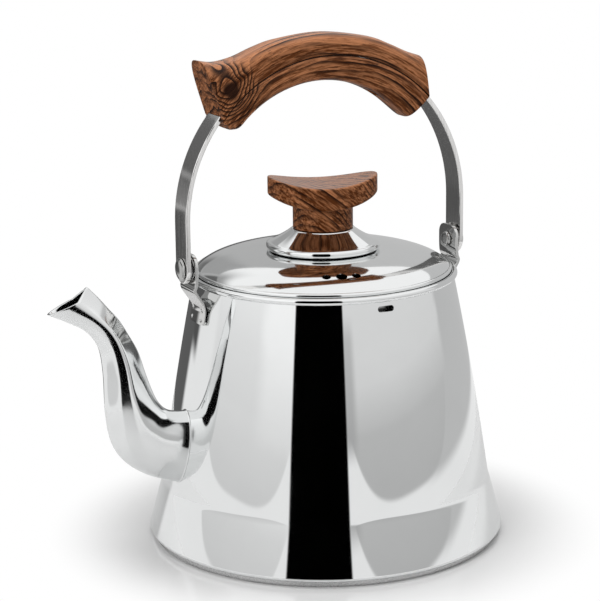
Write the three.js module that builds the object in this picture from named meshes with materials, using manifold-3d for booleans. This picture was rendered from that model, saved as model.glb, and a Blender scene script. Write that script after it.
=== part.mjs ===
// Stovetop kettle in polished steel, with a lift-off lid, a rosewood knob and a swinging bail.
// Millimetres, +Z up. The spout points along -X and the origin is the middle of the underside.
import * as THREE from 'three';
import { mergeVertices } from 'three/addons/utils/BufferGeometryUtils.js';
import Module from 'manifold-3d';

const wasm = await Module();
wasm.setup();

// Clearances and cutting overrun
const seatGap = 0.3;
const holeGap = 0.3;
const pivotGap = 0.1;
const overrun = 5;

// Facets
const turnSteps = 60;
const smallTurnSteps = 20;
const curveSteps = 4;
const sideSteps = 5;
const gripSides = 12;
const archSteps = 20;

// Base disc
const baseRadius = 86.6;
const baseThickness = 2.4;
const baseChamfer = 0.7;

// Body shell
const sheet = 1.0;
const footRadius = 88.4;
const footBead = 1.3;
const floorLand = 9;
const bandTopRadius = 81;
const bandHeight = 24.8;
const bandNeck = 4.5;
const neckRadius = 64;
const bodyHeight = 132.8;
const wallBulge = 0.7;
const rimBead = 1.7;

// Steam slots under the rim
const slotLength = 8.4;
const slotHeight = 2.8;
const slotDrop = 3.2;

// Strainer holes behind the spout
const strainerHole = 2.6;
const strainerPitch = 7.4;
const strainerRows = 4;

// Spout
const spoutReach = 143;
const spoutTipHeight = 126.3;
const spoutRootHeight = 53;
const spoutWidth = 19;
const spoutSheet = 1.1;
const spoutSections = 30;

// Ears
const earWidth = 17;
const earSheet = 1.6;
const earCorner = 5;
const earRise = 7.2;
const earTabDrop = 7.5;
const earTabHeight = 8.5;
const ledgeReach = 1.6;
const ledgeHeight = 2.4;

// Bail strap
const pivotHeight = 140.4;
const bailHalfSpan = 74.2;
const bailArchHeight = 76;
const bailTop = 238.2;
const strapWidth = 14;
const strapThickness = 2.2;

// Rivets and washers of the bail
const rivetRadius = 2.4;
const rivetHeadRadius = 5.4;
const rivetHeadHeight = 1.6;
const rivetTailRadius = 3.7;
const rivetTailHeight = 1.4;
const washerRadius = 5.6;
const washerThickness = 0.8;

// Grip
const gripEndAngle = 49.5;
const gripFrontReach = 65.3;
const gripCrown = 10.3;
const gripBelly = 12.5;
const gripWidth = 21;
const gripJoint = 0.3;
const gripScrewAngle = 26;
const gripScrewRadius = 2;
const gripScrewHeadRadius = 3.8;
const gripScrewHeadHeight = 2.4;
const gripScrewBite = 5.5;
const gripScrewSink = 4;

// Lid
const lidTurn = -17;
const lidFit = 2;
const lidHem = 1.2;
const lidRise = 10.5;
const lidFlatRadius = 28;
const ventOrbit = 51;
const ventRadius = 2.7;
const sideVentRadius = 2.1;
const ventSpacing = 8;
const skirtDepth = 10;

// Knob and its steel foot
const knobFootRadius = 28;
const knobFootBead = 1.9;
const knobFootFlareShare = 0.33;
const knobFootHeight = 10.3;
const knobFootShoulder = 0.9;
const knobNeckRadius = 14.7;
const knobNeckHeight = 10.6;
const knobLength = 54;
const knobDepth = 35;
const knobUnderRise = 6.4;
const knobEndThickness = 9.2;
const knobSaddle = 4.6;

// Knob screw
const knobScrewRadius = 2;
const knobScrewHeadRadius = 4;
const knobScrewHeadHeight = 2.6;
const knobScrewBite = 9;
const knobWasherRadius = 6.5;
const knobWasherThickness = 1;

// Places worked out from the sizes
const floorZ = baseThickness + seatGap;
const bandTopZ = floorZ + bandHeight;
const wallFootZ = bandTopZ + bandNeck;
const rimCentreZ = bodyHeight - rimBead;
const neckZ = rimCentreZ - rimBead;
const rimInnerRadius = neckRadius - rimBead;
const bailCentreZ = bailTop - bailArchHeight;
const skirtRadius = rimInnerRadius - lidFit;
const lidHemRadius = skirtRadius + seatGap + lidHem;
const lidHemCentreZ = rimCentreZ
  + Math.sqrt((rimBead + lidHem + seatGap) ** 2 - (neckRadius - lidHemRadius) ** 2);
const lidFloorZ = lidHemCentreZ - lidHem;
const lidTopZ = lidFloorZ + lidRise;
const knobFootZ = lidTopZ + seatGap;
const knobFootTopZ = knobFootZ + knobFootHeight;
const knobZ = knobFootTopZ + seatGap;
const knobUnderZ = knobZ + knobNeckHeight;
const knobHole = knobScrewRadius + holeGap;
const strapInner = bailHalfSpan - strapThickness / 2;
const strapOuter = bailHalfSpan + strapThickness / 2;
const washerInner = strapInner - seatGap - washerThickness;
const earOuter = washerInner - seatGap;
const earInner = earOuter - earSheet;

const steel = { color: 0xd6d8da, roughness: 0.08, metalness: 1 };
const satin = { color: 0xb4b6b8, roughness: 0.32, metalness: 1 };
const rosewood = { color: 0x7a4128, roughness: 0.38, metalness: 0 };

const lookUpright = new THREE.Matrix4().makeBasis(
  new THREE.Vector3(1, 0, 0), new THREE.Vector3(0, 0, 1), new THREE.Vector3(0, -1, 0));
const lookAlongX = new THREE.Matrix4().makeBasis(
  new THREE.Vector3(0, 1, 0), new THREE.Vector3(0, 0, 1), new THREE.Vector3(1, 0, 0));

// A closed manifold solid from any closed geometry, with its faces turned outward.
function solidOf(geometry) {
  const bare = geometry.clone();
  bare.deleteAttribute('normal');
  bare.deleteAttribute('uv');
  const merged = mergeVertices(bare, 1e-4);
  const place = merged.attributes.position;
  const triangles = [];
  let volume = 0;
  const corners = [new THREE.Vector3(), new THREE.Vector3(), new THREE.Vector3()];
  for (let i = 0; i < merged.index.count; i += 3) {
    const face = [0, 1, 2].map((k) => merged.index.getX(i + k));
    if (face[0] === face[1] || face[1] === face[2] || face[2] === face[0]) continue;
    face.forEach((vertex, k) => corners[k].fromBufferAttribute(place, vertex));
    volume += corners[0].dot(corners[1].clone().cross(corners[2]));
    triangles.push(face);
  }
  const outward = volume > 0 ? triangles : triangles.map(([a, b, c]) => [a, c, b]);
  return new wasm.Manifold(new wasm.Mesh({
    numProp: 3,
    vertProperties: new Float32Array(place.array),
    triVerts: new Uint32Array(outward.flat()),
  }));
}

// A named mesh of the scene from a finished solid.
function meshOf(name, solid, look) {
  const result = solid.getMesh();
  const geometry = new THREE.BufferGeometry();
  geometry.setAttribute('position', new THREE.BufferAttribute(result.vertProperties, 3));
  geometry.setIndex(new THREE.BufferAttribute(result.triVerts, 1));
  geometry.computeVertexNormals();
  const mesh = new THREE.Mesh(geometry, new THREE.MeshStandardMaterial(look));
  mesh.name = name;
  return mesh;
}

// A profile of radius and height, turned about the Z axis.
function turned(path, steps = turnSteps) {
  const points = path.getPoints(curveSteps);
  const geometry = new THREE.LatheGeometry(points, steps);
  geometry.rotateX(Math.PI / 2);
  return geometry;
}

// A shape drawn in X and Z, with its thickness centred on Y = 0.
function uprightSlab(shape, width, segments = curveSteps) {
  const settings = { depth: width, bevelEnabled: false, curveSegments: segments };
  const geometry = new THREE.ExtrudeGeometry(shape, settings);
  geometry.applyMatrix4(lookUpright);
  geometry.translate(0, width / 2, 0);
  return geometry;
}

// A shape drawn in Y and Z, reaching from one X to another.
function crossSlab(shape, fromX, toX, segments = curveSteps) {
  const settings = { depth: toX - fromX, bevelEnabled: false, curveSegments: segments };
  const geometry = new THREE.ExtrudeGeometry(shape, settings);
  geometry.applyMatrix4(lookAlongX);
  geometry.translate(fromX, 0, 0);
  return geometry;
}

// A rod standing on Z = 0.
function rod(radius, height, steps = smallTurnSteps) {
  const geometry = new THREE.CylinderGeometry(radius, radius, height, steps);
  geometry.rotateX(Math.PI / 2);
  geometry.translate(0, 0, height / 2);
  return geometry;
}

// Closed rings of the same number of points, skinned and capped.
function loft(rings) {
  const size = rings[0].length;
  const position = rings.flat().flatMap((point) => [point.x, point.y, point.z]);
  const index = [];
  for (let i = 0; i + 1 < rings.length; i += 1) {
    for (let k = 0; k < size; k += 1) {
      const a = i * size + k;
      const b = i * size + ((k + 1) % size);
      index.push(a, b, b + size, a, b + size, a + size);
    }
  }
  const last = (rings.length - 1) * size;
  for (let k = 1; k + 1 < size; k += 1) {
    index.push(0, k + 1, k);
    index.push(last, last + k, last + k + 1);
  }
  const geometry = new THREE.BufferGeometry();
  geometry.setAttribute('position', new THREE.Float32BufferAttribute(position, 3));
  geometry.setIndex(index);
  return geometry;
}

// Smooth values between the rows of a table, at a place from 0 to 1 along it.
function sampled(rows, column, place) {
  const points = rows.map((row, i) => new THREE.Vector2(i / (rows.length - 1), row[column]));
  const curve = new THREE.SplineCurve(points);
  return curve.getPoint(place).y;
}

// Outer radius of the tapering wall at a height, with its slight swell.
function wallRadius(z) {
  const share = (z - wallFootZ) / (neckZ - wallFootZ);
  const straight = THREE.MathUtils.lerp(bandTopRadius, neckRadius, share);
  return straight + 4 * wallBulge * share * (1 - share);
}

// The wall's middle control point: a quadratic curve with that same swell.
function wallControl(inset) {
  const radius = (bandTopRadius + neckRadius) / 2 + 2 * wallBulge - inset;
  return [radius, (wallFootZ + neckZ) / 2];
}

// The whole body with its inside filled, grown by a clearance, to trim what is welded to it.
function bodyFilled(grow) {
  const path = new THREE.Path();
  path.moveTo(0, floorZ);
  path.lineTo(footRadius + grow, floorZ);
  path.lineTo(bandTopRadius + grow, bandTopZ);
  path.lineTo(bandTopRadius + grow, wallFootZ);
  path.quadraticCurveTo(...wallControl(-grow), neckRadius + grow, neckZ);
  path.lineTo(0, neckZ);
  return solidOf(turned(path));
}

function baseDisc() {
  const path = new THREE.Path();
  path.moveTo(0, 0);
  path.lineTo(baseRadius - baseChamfer, 0);
  path.lineTo(baseRadius, baseChamfer);
  path.lineTo(baseRadius, baseThickness);
  path.lineTo(0, baseThickness);
  return solidOf(turned(path));
}

// The shell's section: foot bead, flared band, crease, wall and rolled rim, then back inside.
function shellSection() {
  const beadX = footRadius - footBead;
  const lean = Math.atan2(beadX - bandTopRadius, bandHeight);
  const rimEnd = Math.PI + Math.acos(sheet / rimBead);
  const innerFoot = beadX + footBead * Math.cos(lean) - sheet / Math.cos(lean);
  const path = new THREE.Path();
  path.moveTo(baseRadius - floorLand, floorZ);
  path.lineTo(beadX, floorZ);
  path.absarc(beadX, floorZ + footBead, footBead, -Math.PI / 2, lean, false);
  path.lineTo(bandTopRadius, bandTopZ);
  path.lineTo(bandTopRadius, wallFootZ);
  path.quadraticCurveTo(...wallControl(0), neckRadius, neckZ);
  path.absarc(neckRadius, rimCentreZ, rimBead, -Math.PI / 2, rimEnd, false);
  path.quadraticCurveTo(...wallControl(sheet), bandTopRadius - sheet, wallFootZ);
  path.lineTo(bandTopRadius - sheet, bandTopZ);
  path.lineTo(innerFoot - sheet, floorZ + footBead + sheet);
  path.lineTo(innerFoot - 2 * sheet, floorZ + sheet);
  path.lineTo(baseRadius - floorLand, floorZ + sheet);
  path.lineTo(baseRadius - floorLand, floorZ);
  return path;
}

function slotCutter() {
  const half = slotLength / 2 - slotHeight / 2;
  const z = neckZ - slotDrop;
  const shape = new THREE.Shape();
  shape.absarc(half, z, slotHeight / 2, -Math.PI / 2, Math.PI / 2, false);
  shape.absarc(-half, z, slotHeight / 2, Math.PI / 2, 1.5 * Math.PI, false);
  return solidOf(uprightSlab(shape, 2 * (neckRadius + overrun)));
}

// Two columns of round holes through the wall behind the spout.
function strainerCutters() {
  const cutters = [];
  for (let row = 0; row < strainerRows; row += 1) {
    for (const side of [-1, 1]) {
      const z = spoutRootHeight + (row - (strainerRows - 1) / 2) * strainerPitch;
      const geometry = rod(strainerHole, bandTopRadius + overrun, smallTurnSteps / 2);
      geometry.rotateY(-Math.PI / 2);
      geometry.translate(0, side * strainerPitch / 2, z);
      cutters.push(solidOf(geometry));
    }
  }
  return cutters;
}

function bodyShell() {
  let shell = solidOf(turned(shellSection()));
  shell = shell.subtract(slotCutter());
  strainerCutters().forEach((cutter) => {
    shell = shell.subtract(cutter);
  });
  return shell;
}

// Rows from root to past the mouth: ridge along and up, belly along and up, half width, roof.
// Along is a share of the way from the wall to the tip, up a share of the way from the root's
// height to the tip's, the width a share of the spout's, and roof says how straight the roof is.
const spoutShares = [
  [-0.15, 0.24, -0.15, -0.30, 0.90, 0.0],
  [0.01, 0.245, 0.07, -0.235, 0.92, 0.0],
  [0.11, 0.27, 0.29, -0.155, 0.96, 0.1],
  [0.175, 0.33, 0.455, -0.045, 1.00, 0.25],
  [0.215, 0.41, 0.55, 0.095, 1.00, 0.5],
  [0.26, 0.53, 0.587, 0.30, 0.96, 0.75],
  [0.315, 0.685, 0.592, 0.545, 0.88, 0.9],
  [0.386, 0.806, 0.615, 0.715, 0.80, 1.0],
  [0.458, 0.914, 0.667, 0.81, 0.71, 1.0],
  [0.532, 0.994, 0.742, 0.877, 0.63, 1.0],
  [0.606, 1.075, 0.84, 0.927, 0.56, 1.0],
  [0.691, 1.157, 0.94, 0.972, 0.50, 1.0],
  [0.79, 1.247, 1.05, 1.018, 0.45, 1.0],
];
const creaseShare = 0.47;
const roofInsetShare = 1.5;

function spoutPoint(alongShare, upShare) {
  const rootRadius = wallRadius(spoutRootHeight);
  return new THREE.Vector3(
    -THREE.MathUtils.lerp(rootRadius, spoutReach, alongShare), 0,
    THREE.MathUtils.lerp(spoutRootHeight, spoutTipHeight, upShare));
}

// One section, ridge first: a roof to the creases and a round belly, drawn in by an inset.
function spoutSection(place, inset) {
  const at = (column) => sampled(spoutShares, column, place);
  const ridge = spoutPoint(at(0), at(1));
  const belly = spoutPoint(at(2), at(3));
  const depth = ridge.distanceTo(belly);
  const half = at(4) * spoutWidth / 2 - inset;
  const roof = at(5);
  const top = inset * THREE.MathUtils.lerp(1, roofInsetShare, roof) / depth;
  const bottom = 1 - inset / depth;
  const side = [];
  for (let i = 0; i <= sideSteps; i += 1) {
    const share = i / sideSteps;
    const round = share * Math.PI / 2;
    const down = THREE.MathUtils.lerp(1 - Math.cos(round), share, roof);
    const out = THREE.MathUtils.lerp(Math.sin(round), share, roof);
    side.push([THREE.MathUtils.lerp(top, creaseShare, down), half * out]);
  }
  for (let i = 1; i <= sideSteps; i += 1) {
    const round = (i / sideSteps) * Math.PI / 2;
    side.push([THREE.MathUtils.lerp(creaseShare, bottom, Math.sin(round)), half * Math.cos(round)]);
  }
  const mirrored = side.slice(1, -1).reverse().map(([down, out]) => [down, -out]);
  return [...side, ...mirrored].map(([down, out]) => {
    const point = ridge.clone().lerp(belly, down);
    point.y = out;
    return point;
  });
}

function spoutLoft(inset) {
  const rings = [];
  for (let i = 0; i < spoutSections; i += 1) {
    rings.push(spoutSection(i / (spoutSections - 1), inset));
  }
  return rings;
}

// The mouth's cut: steep down from the ridge to the creases, then shallow out to the beak's tip
// and past it. Its corners are shares along and up, like the spout's.
const mouthShares = [[0.4, 1.45], [0.691, 1.157], [0.79, 1.07], [1, 1], [1.3, 0.92], [1.3, 1.6]];

function mouthCutter() {
  const corners = mouthShares.map(([along, up]) => {
    const point = spoutPoint(along, up);
    return new THREE.Vector2(point.x, point.z);
  });
  return solidOf(uprightSlab(new THREE.Shape(corners), spoutWidth + 2 * overrun));
}

function spout() {
  const outer = solidOf(loft(spoutLoft(0)));
  const inner = spoutLoft(spoutSheet);
  const rootShift = inner[0].map((point) => point.clone().add(new THREE.Vector3(overrun, 0, 0)));
  const reach = inner.at(-1)[0].clone().sub(inner.at(-2)[0]).setLength(overrun);
  const tipShift = inner.at(-1).map((point) => point.clone().add(reach));
  const channel = solidOf(loft([rootShift, ...inner, tipShift]));
  return outer.subtract(channel).subtract(bodyFilled(seatGap)).subtract(mouthCutter());
}

// A sheet of even thickness bent along a line of places, as a closed outline.
function bentSheet(places, thickness) {
  const offsets = places.map((place, i) => {
    const before = places[Math.max(i - 1, 0)];
    const after = places[Math.min(i + 1, places.length - 1)];
    const inward = place.clone().sub(before);
    const outward = after.clone().sub(place);
    const turnIn = (i === 0 ? outward : inward).clone().normalize();
    const turnOut = (i === places.length - 1 ? inward : outward).clone().normalize();
    const mitre = turnIn.clone().add(turnOut).normalize();
    const normal = new THREE.Vector2(-mitre.y, mitre.x);
    const stretch = 1 / mitre.dot(turnIn);
    return normal.multiplyScalar(stretch * thickness / 2);
  });
  const near = places.map((place, i) => place.clone().add(offsets[i]));
  const far = places.map((place, i) => place.clone().sub(offsets[i])).reverse();
  return new THREE.Shape([...near, ...far]);
}

// The bent bracket on the rear side: tab on the wall, slope past the rim, ledge and upright ear.
function ear() {
  const tabTop = neckZ - earTabDrop;
  const tabFoot = tabTop - earTabHeight;
  const tabInset = earWidth * earWidth / (8 * neckRadius);
  const middle = earInner + earSheet / 2;
  const ledgeZ = neckZ + ledgeHeight / 2;
  const sheetLine = [
    new THREE.Vector2(wallRadius(tabFoot) + earSheet / 2 - tabInset, tabFoot),
    new THREE.Vector2(wallRadius(tabTop) + earSheet / 2 - tabInset, tabTop),
    new THREE.Vector2(middle + ledgeReach, ledgeZ),
    new THREE.Vector2(middle, ledgeZ + ledgeHeight),
    new THREE.Vector2(middle, pivotHeight + earRise),
  ];
  const bent = solidOf(uprightSlab(bentSheet(sheetLine, earSheet), earWidth));
  const top = pivotHeight + earRise;
  const half = earWidth / 2;
  const outline = new THREE.Shape();
  outline.moveTo(-half, floorZ);
  outline.lineTo(half, floorZ);
  outline.lineTo(half, top - earCorner);
  outline.absarc(half - earCorner, top - earCorner, earCorner, 0, Math.PI / 2, false);
  outline.absarc(earCorner - half, top - earCorner, earCorner, Math.PI / 2, Math.PI, false);
  const rounded = solidOf(crossSlab(outline, 0, earOuter + ledgeReach + overrun));
  return bent.intersect(rounded).subtract(bodyFilled(seatGap)).subtract(pivotHole());
}

// Bore for the rivet's shank, from the axis out past the strap.
function pivotHole() {
  const geometry = rod(rivetRadius + pivotGap, strapOuter + overrun);
  geometry.rotateY(Math.PI / 2);
  geometry.translate(0, 0, pivotHeight);
  return solidOf(geometry);
}

// A piece turned about the pivot line: its path's x is a radius, its y the distance from the axis.
function turnedOnPivot(path) {
  const geometry = turned(path, smallTurnSteps);
  geometry.rotateY(Math.PI / 2);
  geometry.translate(0, 0, pivotHeight);
  return solidOf(geometry);
}

function rivet() {
  const tailX = earInner - seatGap;
  const headX = strapOuter + seatGap;
  const path = new THREE.Path();
  path.moveTo(0, tailX - rivetTailHeight);
  path.lineTo(rivetTailRadius / 2, tailX - rivetTailHeight);
  path.lineTo(rivetTailRadius, tailX - rivetTailHeight / 2);
  path.lineTo(rivetTailRadius, tailX);
  path.lineTo(rivetRadius, tailX);
  path.lineTo(rivetRadius, headX);
  path.lineTo(rivetHeadRadius, headX);
  path.quadraticCurveTo(rivetHeadRadius, headX + rivetHeadHeight, 0, headX + rivetHeadHeight);
  return turnedOnPivot(path);
}

function washer() {
  const bore = rivetRadius + pivotGap;
  const path = new THREE.Path();
  path.moveTo(bore, washerInner);
  path.lineTo(washerRadius, washerInner);
  path.lineTo(washerRadius, washerInner + washerThickness);
  path.lineTo(bore, washerInner + washerThickness);
  path.lineTo(bore, washerInner);
  return turnedOnPivot(path);
}

// Arched band between two offsets of the bail's line, down to a height.
function archBand(innerOffset, outerOffset, footZ) {
  const shape = new THREE.Shape();
  const outerSpan = bailHalfSpan + outerOffset;
  const innerSpan = bailHalfSpan + innerOffset;
  shape.moveTo(outerSpan, footZ);
  shape.absellipse(0, bailCentreZ, outerSpan, bailArchHeight + outerOffset, 0, Math.PI, false);
  shape.lineTo(-outerSpan, footZ);
  shape.lineTo(-innerSpan, footZ);
  shape.absellipse(0, bailCentreZ, innerSpan, bailArchHeight + innerOffset, Math.PI, 0, true);
  shape.lineTo(innerSpan, footZ);
  return shape;
}

// The strap with round ends about its pivots, bored for the rivets and the grip's screws.
function bailStrap() {
  const footZ = pivotHeight - strapWidth / 2;
  const half = strapThickness / 2;
  const band = solidOf(uprightSlab(archBand(-half, half, footZ), strapWidth, archSteps));
  const plate = new THREE.Shape();
  plate.moveTo(strapWidth / 2, bailTop + overrun);
  plate.lineTo(-strapWidth / 2, bailTop + overrun);
  plate.absarc(0, pivotHeight, strapWidth / 2, Math.PI, 2 * Math.PI, false);
  const reach = strapOuter + overrun;
  const rounded = solidOf(crossSlab(plate, -reach, reach, archSteps));
  const hole = rod(rivetRadius + pivotGap, 2 * reach);
  hole.rotateY(Math.PI / 2);
  hole.translate(-reach, 0, pivotHeight);
  let strap = band.intersect(rounded).subtract(solidOf(hole));
  for (const side of [-1, 1]) {
    strap = strap.subtract(gripScrewHole(side, gripScrewRadius + holeGap, gripScrewBite));
  }
  return strap;
}

// Point on the bail's line at an angle from its top, moved out by an offset.
function archPoint(angle, offset) {
  return new THREE.Vector3(
    -(bailHalfSpan + offset) * Math.sin(angle), 0,
    bailCentreZ + (bailArchHeight + offset) * Math.cos(angle));
}

// Rows of the upper grip from front to rear: angle on the strap, crown along and up, half width.
// The angle is a share of the front end's, along a share of the front reach, and up a share of
// the crown over the strap's top.
const upperGripShares = [
  [1.0, 1.0, 0.08, 1.08],
  [0.87, 0.858, -0.06, 1.05],
  [0.71, 0.697, 0.11, 1.01],
  [0.53, 0.528, 0.50, 0.98],
  [0.36, 0.352, 0.79, 0.96],
  [0.0, 0.0, 1.0, 0.95],
  [-0.36, -0.352, 0.71, 0.97],
  [-0.54, -0.52, 0.33, 0.99],
  [-0.72, -0.67, -0.10, 1.02],
  [-0.94, -0.79, -0.36, 1.04],
];

// Rows of the lower grip from front to rear: angle, belly below the strap and half width.
const lowerGripShares = [
  [1.015, 0.62, 0.94],
  [0.95, 0.88, 0.99],
  [0.82, 0.90, 1.0],
  [0.55, 0.92, 0.98],
  [0.0, 1.0, 0.94],
  [-0.50, 1.12, 0.98],
  [-0.76, 1.18, 1.0],
  [-0.88, 1.17, 1.0],
  [-0.94, 1.13, 0.97],
];
const gripRoundShare = 0.55;

// A half round section between a foot line across the strap and the crown opposite it.
function gripSection(foot, crown, half) {
  const ring = [];
  for (let i = 0; i <= gripSides; i += 1) {
    const turn = (i / gripSides) * Math.PI;
    const across = Math.sign(Math.cos(turn)) * Math.abs(Math.cos(turn)) ** gripRoundShare;
    const point = foot.clone().lerp(crown, Math.sin(turn) ** gripRoundShare);
    point.y = half * across;
    ring.push(point);
  }
  return ring;
}

function strapChannel() {
  const half = strapThickness / 2 + holeGap;
  const band = archBand(-half, half, pivotHeight);
  return solidOf(uprightSlab(band, strapWidth + 2 * holeGap, archSteps));
}

function gripUpper() {
  const rings = [];
  const end = THREE.MathUtils.degToRad(gripEndAngle);
  for (let i = 0; i <= archSteps; i += 1) {
    const at = (column) => sampled(upperGripShares, column, i / archSteps);
    const foot = archPoint(at(0) * end, gripJoint / 2);
    const crown = new THREE.Vector3(-at(1) * gripFrontReach, 0, bailTop + at(2) * gripCrown);
    rings.push(gripSection(foot, crown, at(3) * gripWidth / 2));
  }
  return withScrewHoles(solidOf(loft(rings)).subtract(strapChannel()), 0);
}

function gripLower() {
  const rings = [];
  const end = THREE.MathUtils.degToRad(gripEndAngle);
  for (let i = 0; i <= archSteps; i += 1) {
    const at = (column) => sampled(lowerGripShares, column, i / archSteps);
    const foot = archPoint(at(0) * end, -gripJoint / 2);
    const crown = archPoint(at(0) * end, -at(1) * gripBelly);
    rings.push(gripSection(foot, crown, at(2) * gripWidth / 2));
  }
  return withScrewHoles(solidOf(loft(rings)).subtract(strapChannel()), 1);
}

// Turns a solid's geometry that stands along the arch's outward normal at a screw's place.
function placedOnArch(geometry, side, offset) {
  const angle = side * THREE.MathUtils.degToRad(gripScrewAngle);
  const place = archPoint(angle, offset);
  const normal = new THREE.Vector3(
    -Math.sin(angle) / bailHalfSpan, 0, Math.cos(angle) / bailArchHeight);
  geometry.rotateY(Math.atan2(normal.x, normal.z));
  geometry.translate(place.x, 0, place.z);
  return solidOf(geometry);
}

function gripScrewHole(side, radius, bite) {
  const start = gripBelly + overrun;
  return placedOnArch(rod(radius, start + bite + holeGap), side, -start);
}

// Bores for both screws, with the counterbores where the heads sit.
function withScrewHoles(solid, withHeads) {
  let result = solid;
  for (const side of [-1, 1]) {
    result = result.subtract(gripScrewHole(side, gripScrewRadius + holeGap, gripScrewBite));
    if (withHeads) {
      const depth = gripScrewSink + overrun;
      const bore = rod(gripScrewHeadRadius + holeGap, depth);
      result = result.subtract(placedOnArch(bore, side, -gripBelly - overrun));
    }
  }
  return result;
}

function gripScrew(side) {
  const headTop = gripScrewSink - seatGap;
  const shankLength = gripBelly - headTop + gripScrewBite;
  const path = new THREE.Path();
  path.moveTo(0, headTop - gripScrewHeadHeight);
  path.quadraticCurveTo(gripScrewHeadRadius, headTop - gripScrewHeadHeight,
    gripScrewHeadRadius, headTop);
  path.lineTo(gripScrewRadius, headTop);
  path.lineTo(gripScrewRadius, headTop + shankLength - gripScrewRadius);
  path.lineTo(0, headTop + shankLength);
  return placedOnArch(turned(path, smallTurnSteps), side, -gripBelly);
}

// Control points of the dome, as shares of the way out to the hem and down to it.
const domeShares = [[0, 0], [0.53, 0], [0.85, 0.45], [1, 1]];

// The lid's dome: flat under the knob, then falling ever more steeply to the hem.
function domeCurve(path, drop, reverse) {
  const fall = lidTopZ - lidHemCentreZ - lidHem;
  const at = ([out, down]) => [
    THREE.MathUtils.lerp(lidFlatRadius, lidHemRadius, out), lidTopZ - drop - fall * down];
  const [start, ...rest] = domeShares.map(at);
  const [near, far, end] = rest;
  if (reverse) {
    path.bezierCurveTo(...far, ...near, ...start);
  } else {
    path.lineTo(...start);
    path.bezierCurveTo(...near, ...far, ...end);
  }
}

function lid() {
  const path = new THREE.Path();
  path.moveTo(knobHole, lidTopZ);
  domeCurve(path, 0, false);
  path.absarc(lidHemRadius, lidHemCentreZ, lidHem, Math.PI / 2, -Math.PI / 2, true);
  path.lineTo(skirtRadius + seatGap, lidFloorZ);
  path.lineTo(skirtRadius + seatGap, lidHemCentreZ);
  domeCurve(path, sheet, true);
  path.lineTo(knobHole, lidTopZ - sheet);
  path.lineTo(knobHole, lidTopZ);
  let plate = solidOf(turned(path));
  for (const step of [-1, 0, 1]) {
    const radius = step === 0 ? ventRadius : sideVentRadius;
    const geometry = rod(radius, lidRise + overrun);
    geometry.translate(0, -ventOrbit, lidFloorZ);
    geometry.rotateZ(THREE.MathUtils.degToRad(lidTurn + step * ventSpacing));
    plate = plate.subtract(solidOf(geometry));
  }
  return plate;
}

// The ring under the dome that keeps the lid centred, with its foot turned in.
function lidSkirt() {
  const outer = skirtRadius;
  const top = lidHemCentreZ;
  const foot = lidFloorZ - skirtDepth;
  const path = new THREE.Path();
  path.moveTo(outer, top);
  path.lineTo(outer, foot + sheet);
  path.lineTo(outer - sheet, foot);
  path.lineTo(outer - 2 * sheet, foot);
  path.lineTo(outer - 2 * sheet, foot + sheet / 2);
  path.lineTo(outer - sheet, foot + 2 * sheet);
  path.lineTo(outer - sheet, top);
  path.lineTo(outer, top);
  return solidOf(turned(path));
}

function knobBase() {
  const beadX = knobFootRadius - knobFootBead;
  const topRadius = knobNeckRadius + knobFootShoulder;
  const path = new THREE.Path();
  path.moveTo(knobHole, knobFootZ);
  path.lineTo(beadX, knobFootZ);
  path.absarc(beadX, knobFootZ + knobFootBead, knobFootBead, -Math.PI / 2, Math.PI / 2, false);
  path.quadraticCurveTo((beadX + topRadius) / 2,
    THREE.MathUtils.lerp(knobFootZ + 2 * knobFootBead, knobFootTopZ, knobFootFlareShare),
    topRadius, knobFootTopZ);
  path.lineTo(knobHole, knobFootTopZ);
  path.lineTo(knobHole, knobFootZ);
  return solidOf(turned(path));
}

// Side outline of the knob's cap along its length: a saddle on top and rising undersides.
function knobSideOutline() {
  const half = knobLength / 2;
  const endFoot = knobUnderZ + knobUnderRise;
  const endTop = endFoot + knobEndThickness;
  const shape = new THREE.Shape();
  shape.moveTo(-half - overrun, endFoot);
  shape.lineTo(-half, endFoot);
  shape.quadraticCurveTo(-knobNeckRadius, knobUnderZ, 0, knobUnderZ);
  shape.quadraticCurveTo(knobNeckRadius, knobUnderZ, half, endFoot);
  shape.lineTo(half + overrun, endFoot);
  shape.lineTo(half + overrun, endTop);
  shape.lineTo(half, endTop);
  shape.quadraticCurveTo(0, endTop - 2 * knobSaddle, -half, endTop);
  shape.lineTo(-half - overrun, endTop);
  return shape;
}

function knob() {
  const plan = new THREE.Shape();
  plan.absellipse(0, 0, knobLength / 2, knobDepth / 2, 0, 2 * Math.PI, false);
  const height = knobUnderRise + knobEndThickness + overrun;
  const settings = { depth: height, bevelEnabled: false, curveSegments: archSteps };
  const oval = new THREE.ExtrudeGeometry(plan, settings);
  oval.translate(0, 0, knobUnderZ - overrun / 2);
  const cap = solidOf(oval).intersect(solidOf(uprightSlab(knobSideOutline(), knobDepth + overrun)));
  const neck = rod(knobNeckRadius, knobNeckHeight + knobUnderRise / 2, turnSteps);
  neck.translate(0, 0, knobZ);
  const bore = rod(knobHole, knobScrewBite + holeGap);
  bore.translate(0, 0, knobZ);
  return cap.add(solidOf(neck)).subtract(solidOf(bore));
}

function knobWasher() {
  const top = lidTopZ - sheet - seatGap;
  const path = new THREE.Path();
  path.moveTo(knobHole, top - knobWasherThickness);
  path.lineTo(knobWasherRadius, top - knobWasherThickness);
  path.lineTo(knobWasherRadius, top);
  path.lineTo(knobHole, top);
  path.lineTo(knobHole, top - knobWasherThickness);
  return solidOf(turned(path, smallTurnSteps));
}

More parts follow.
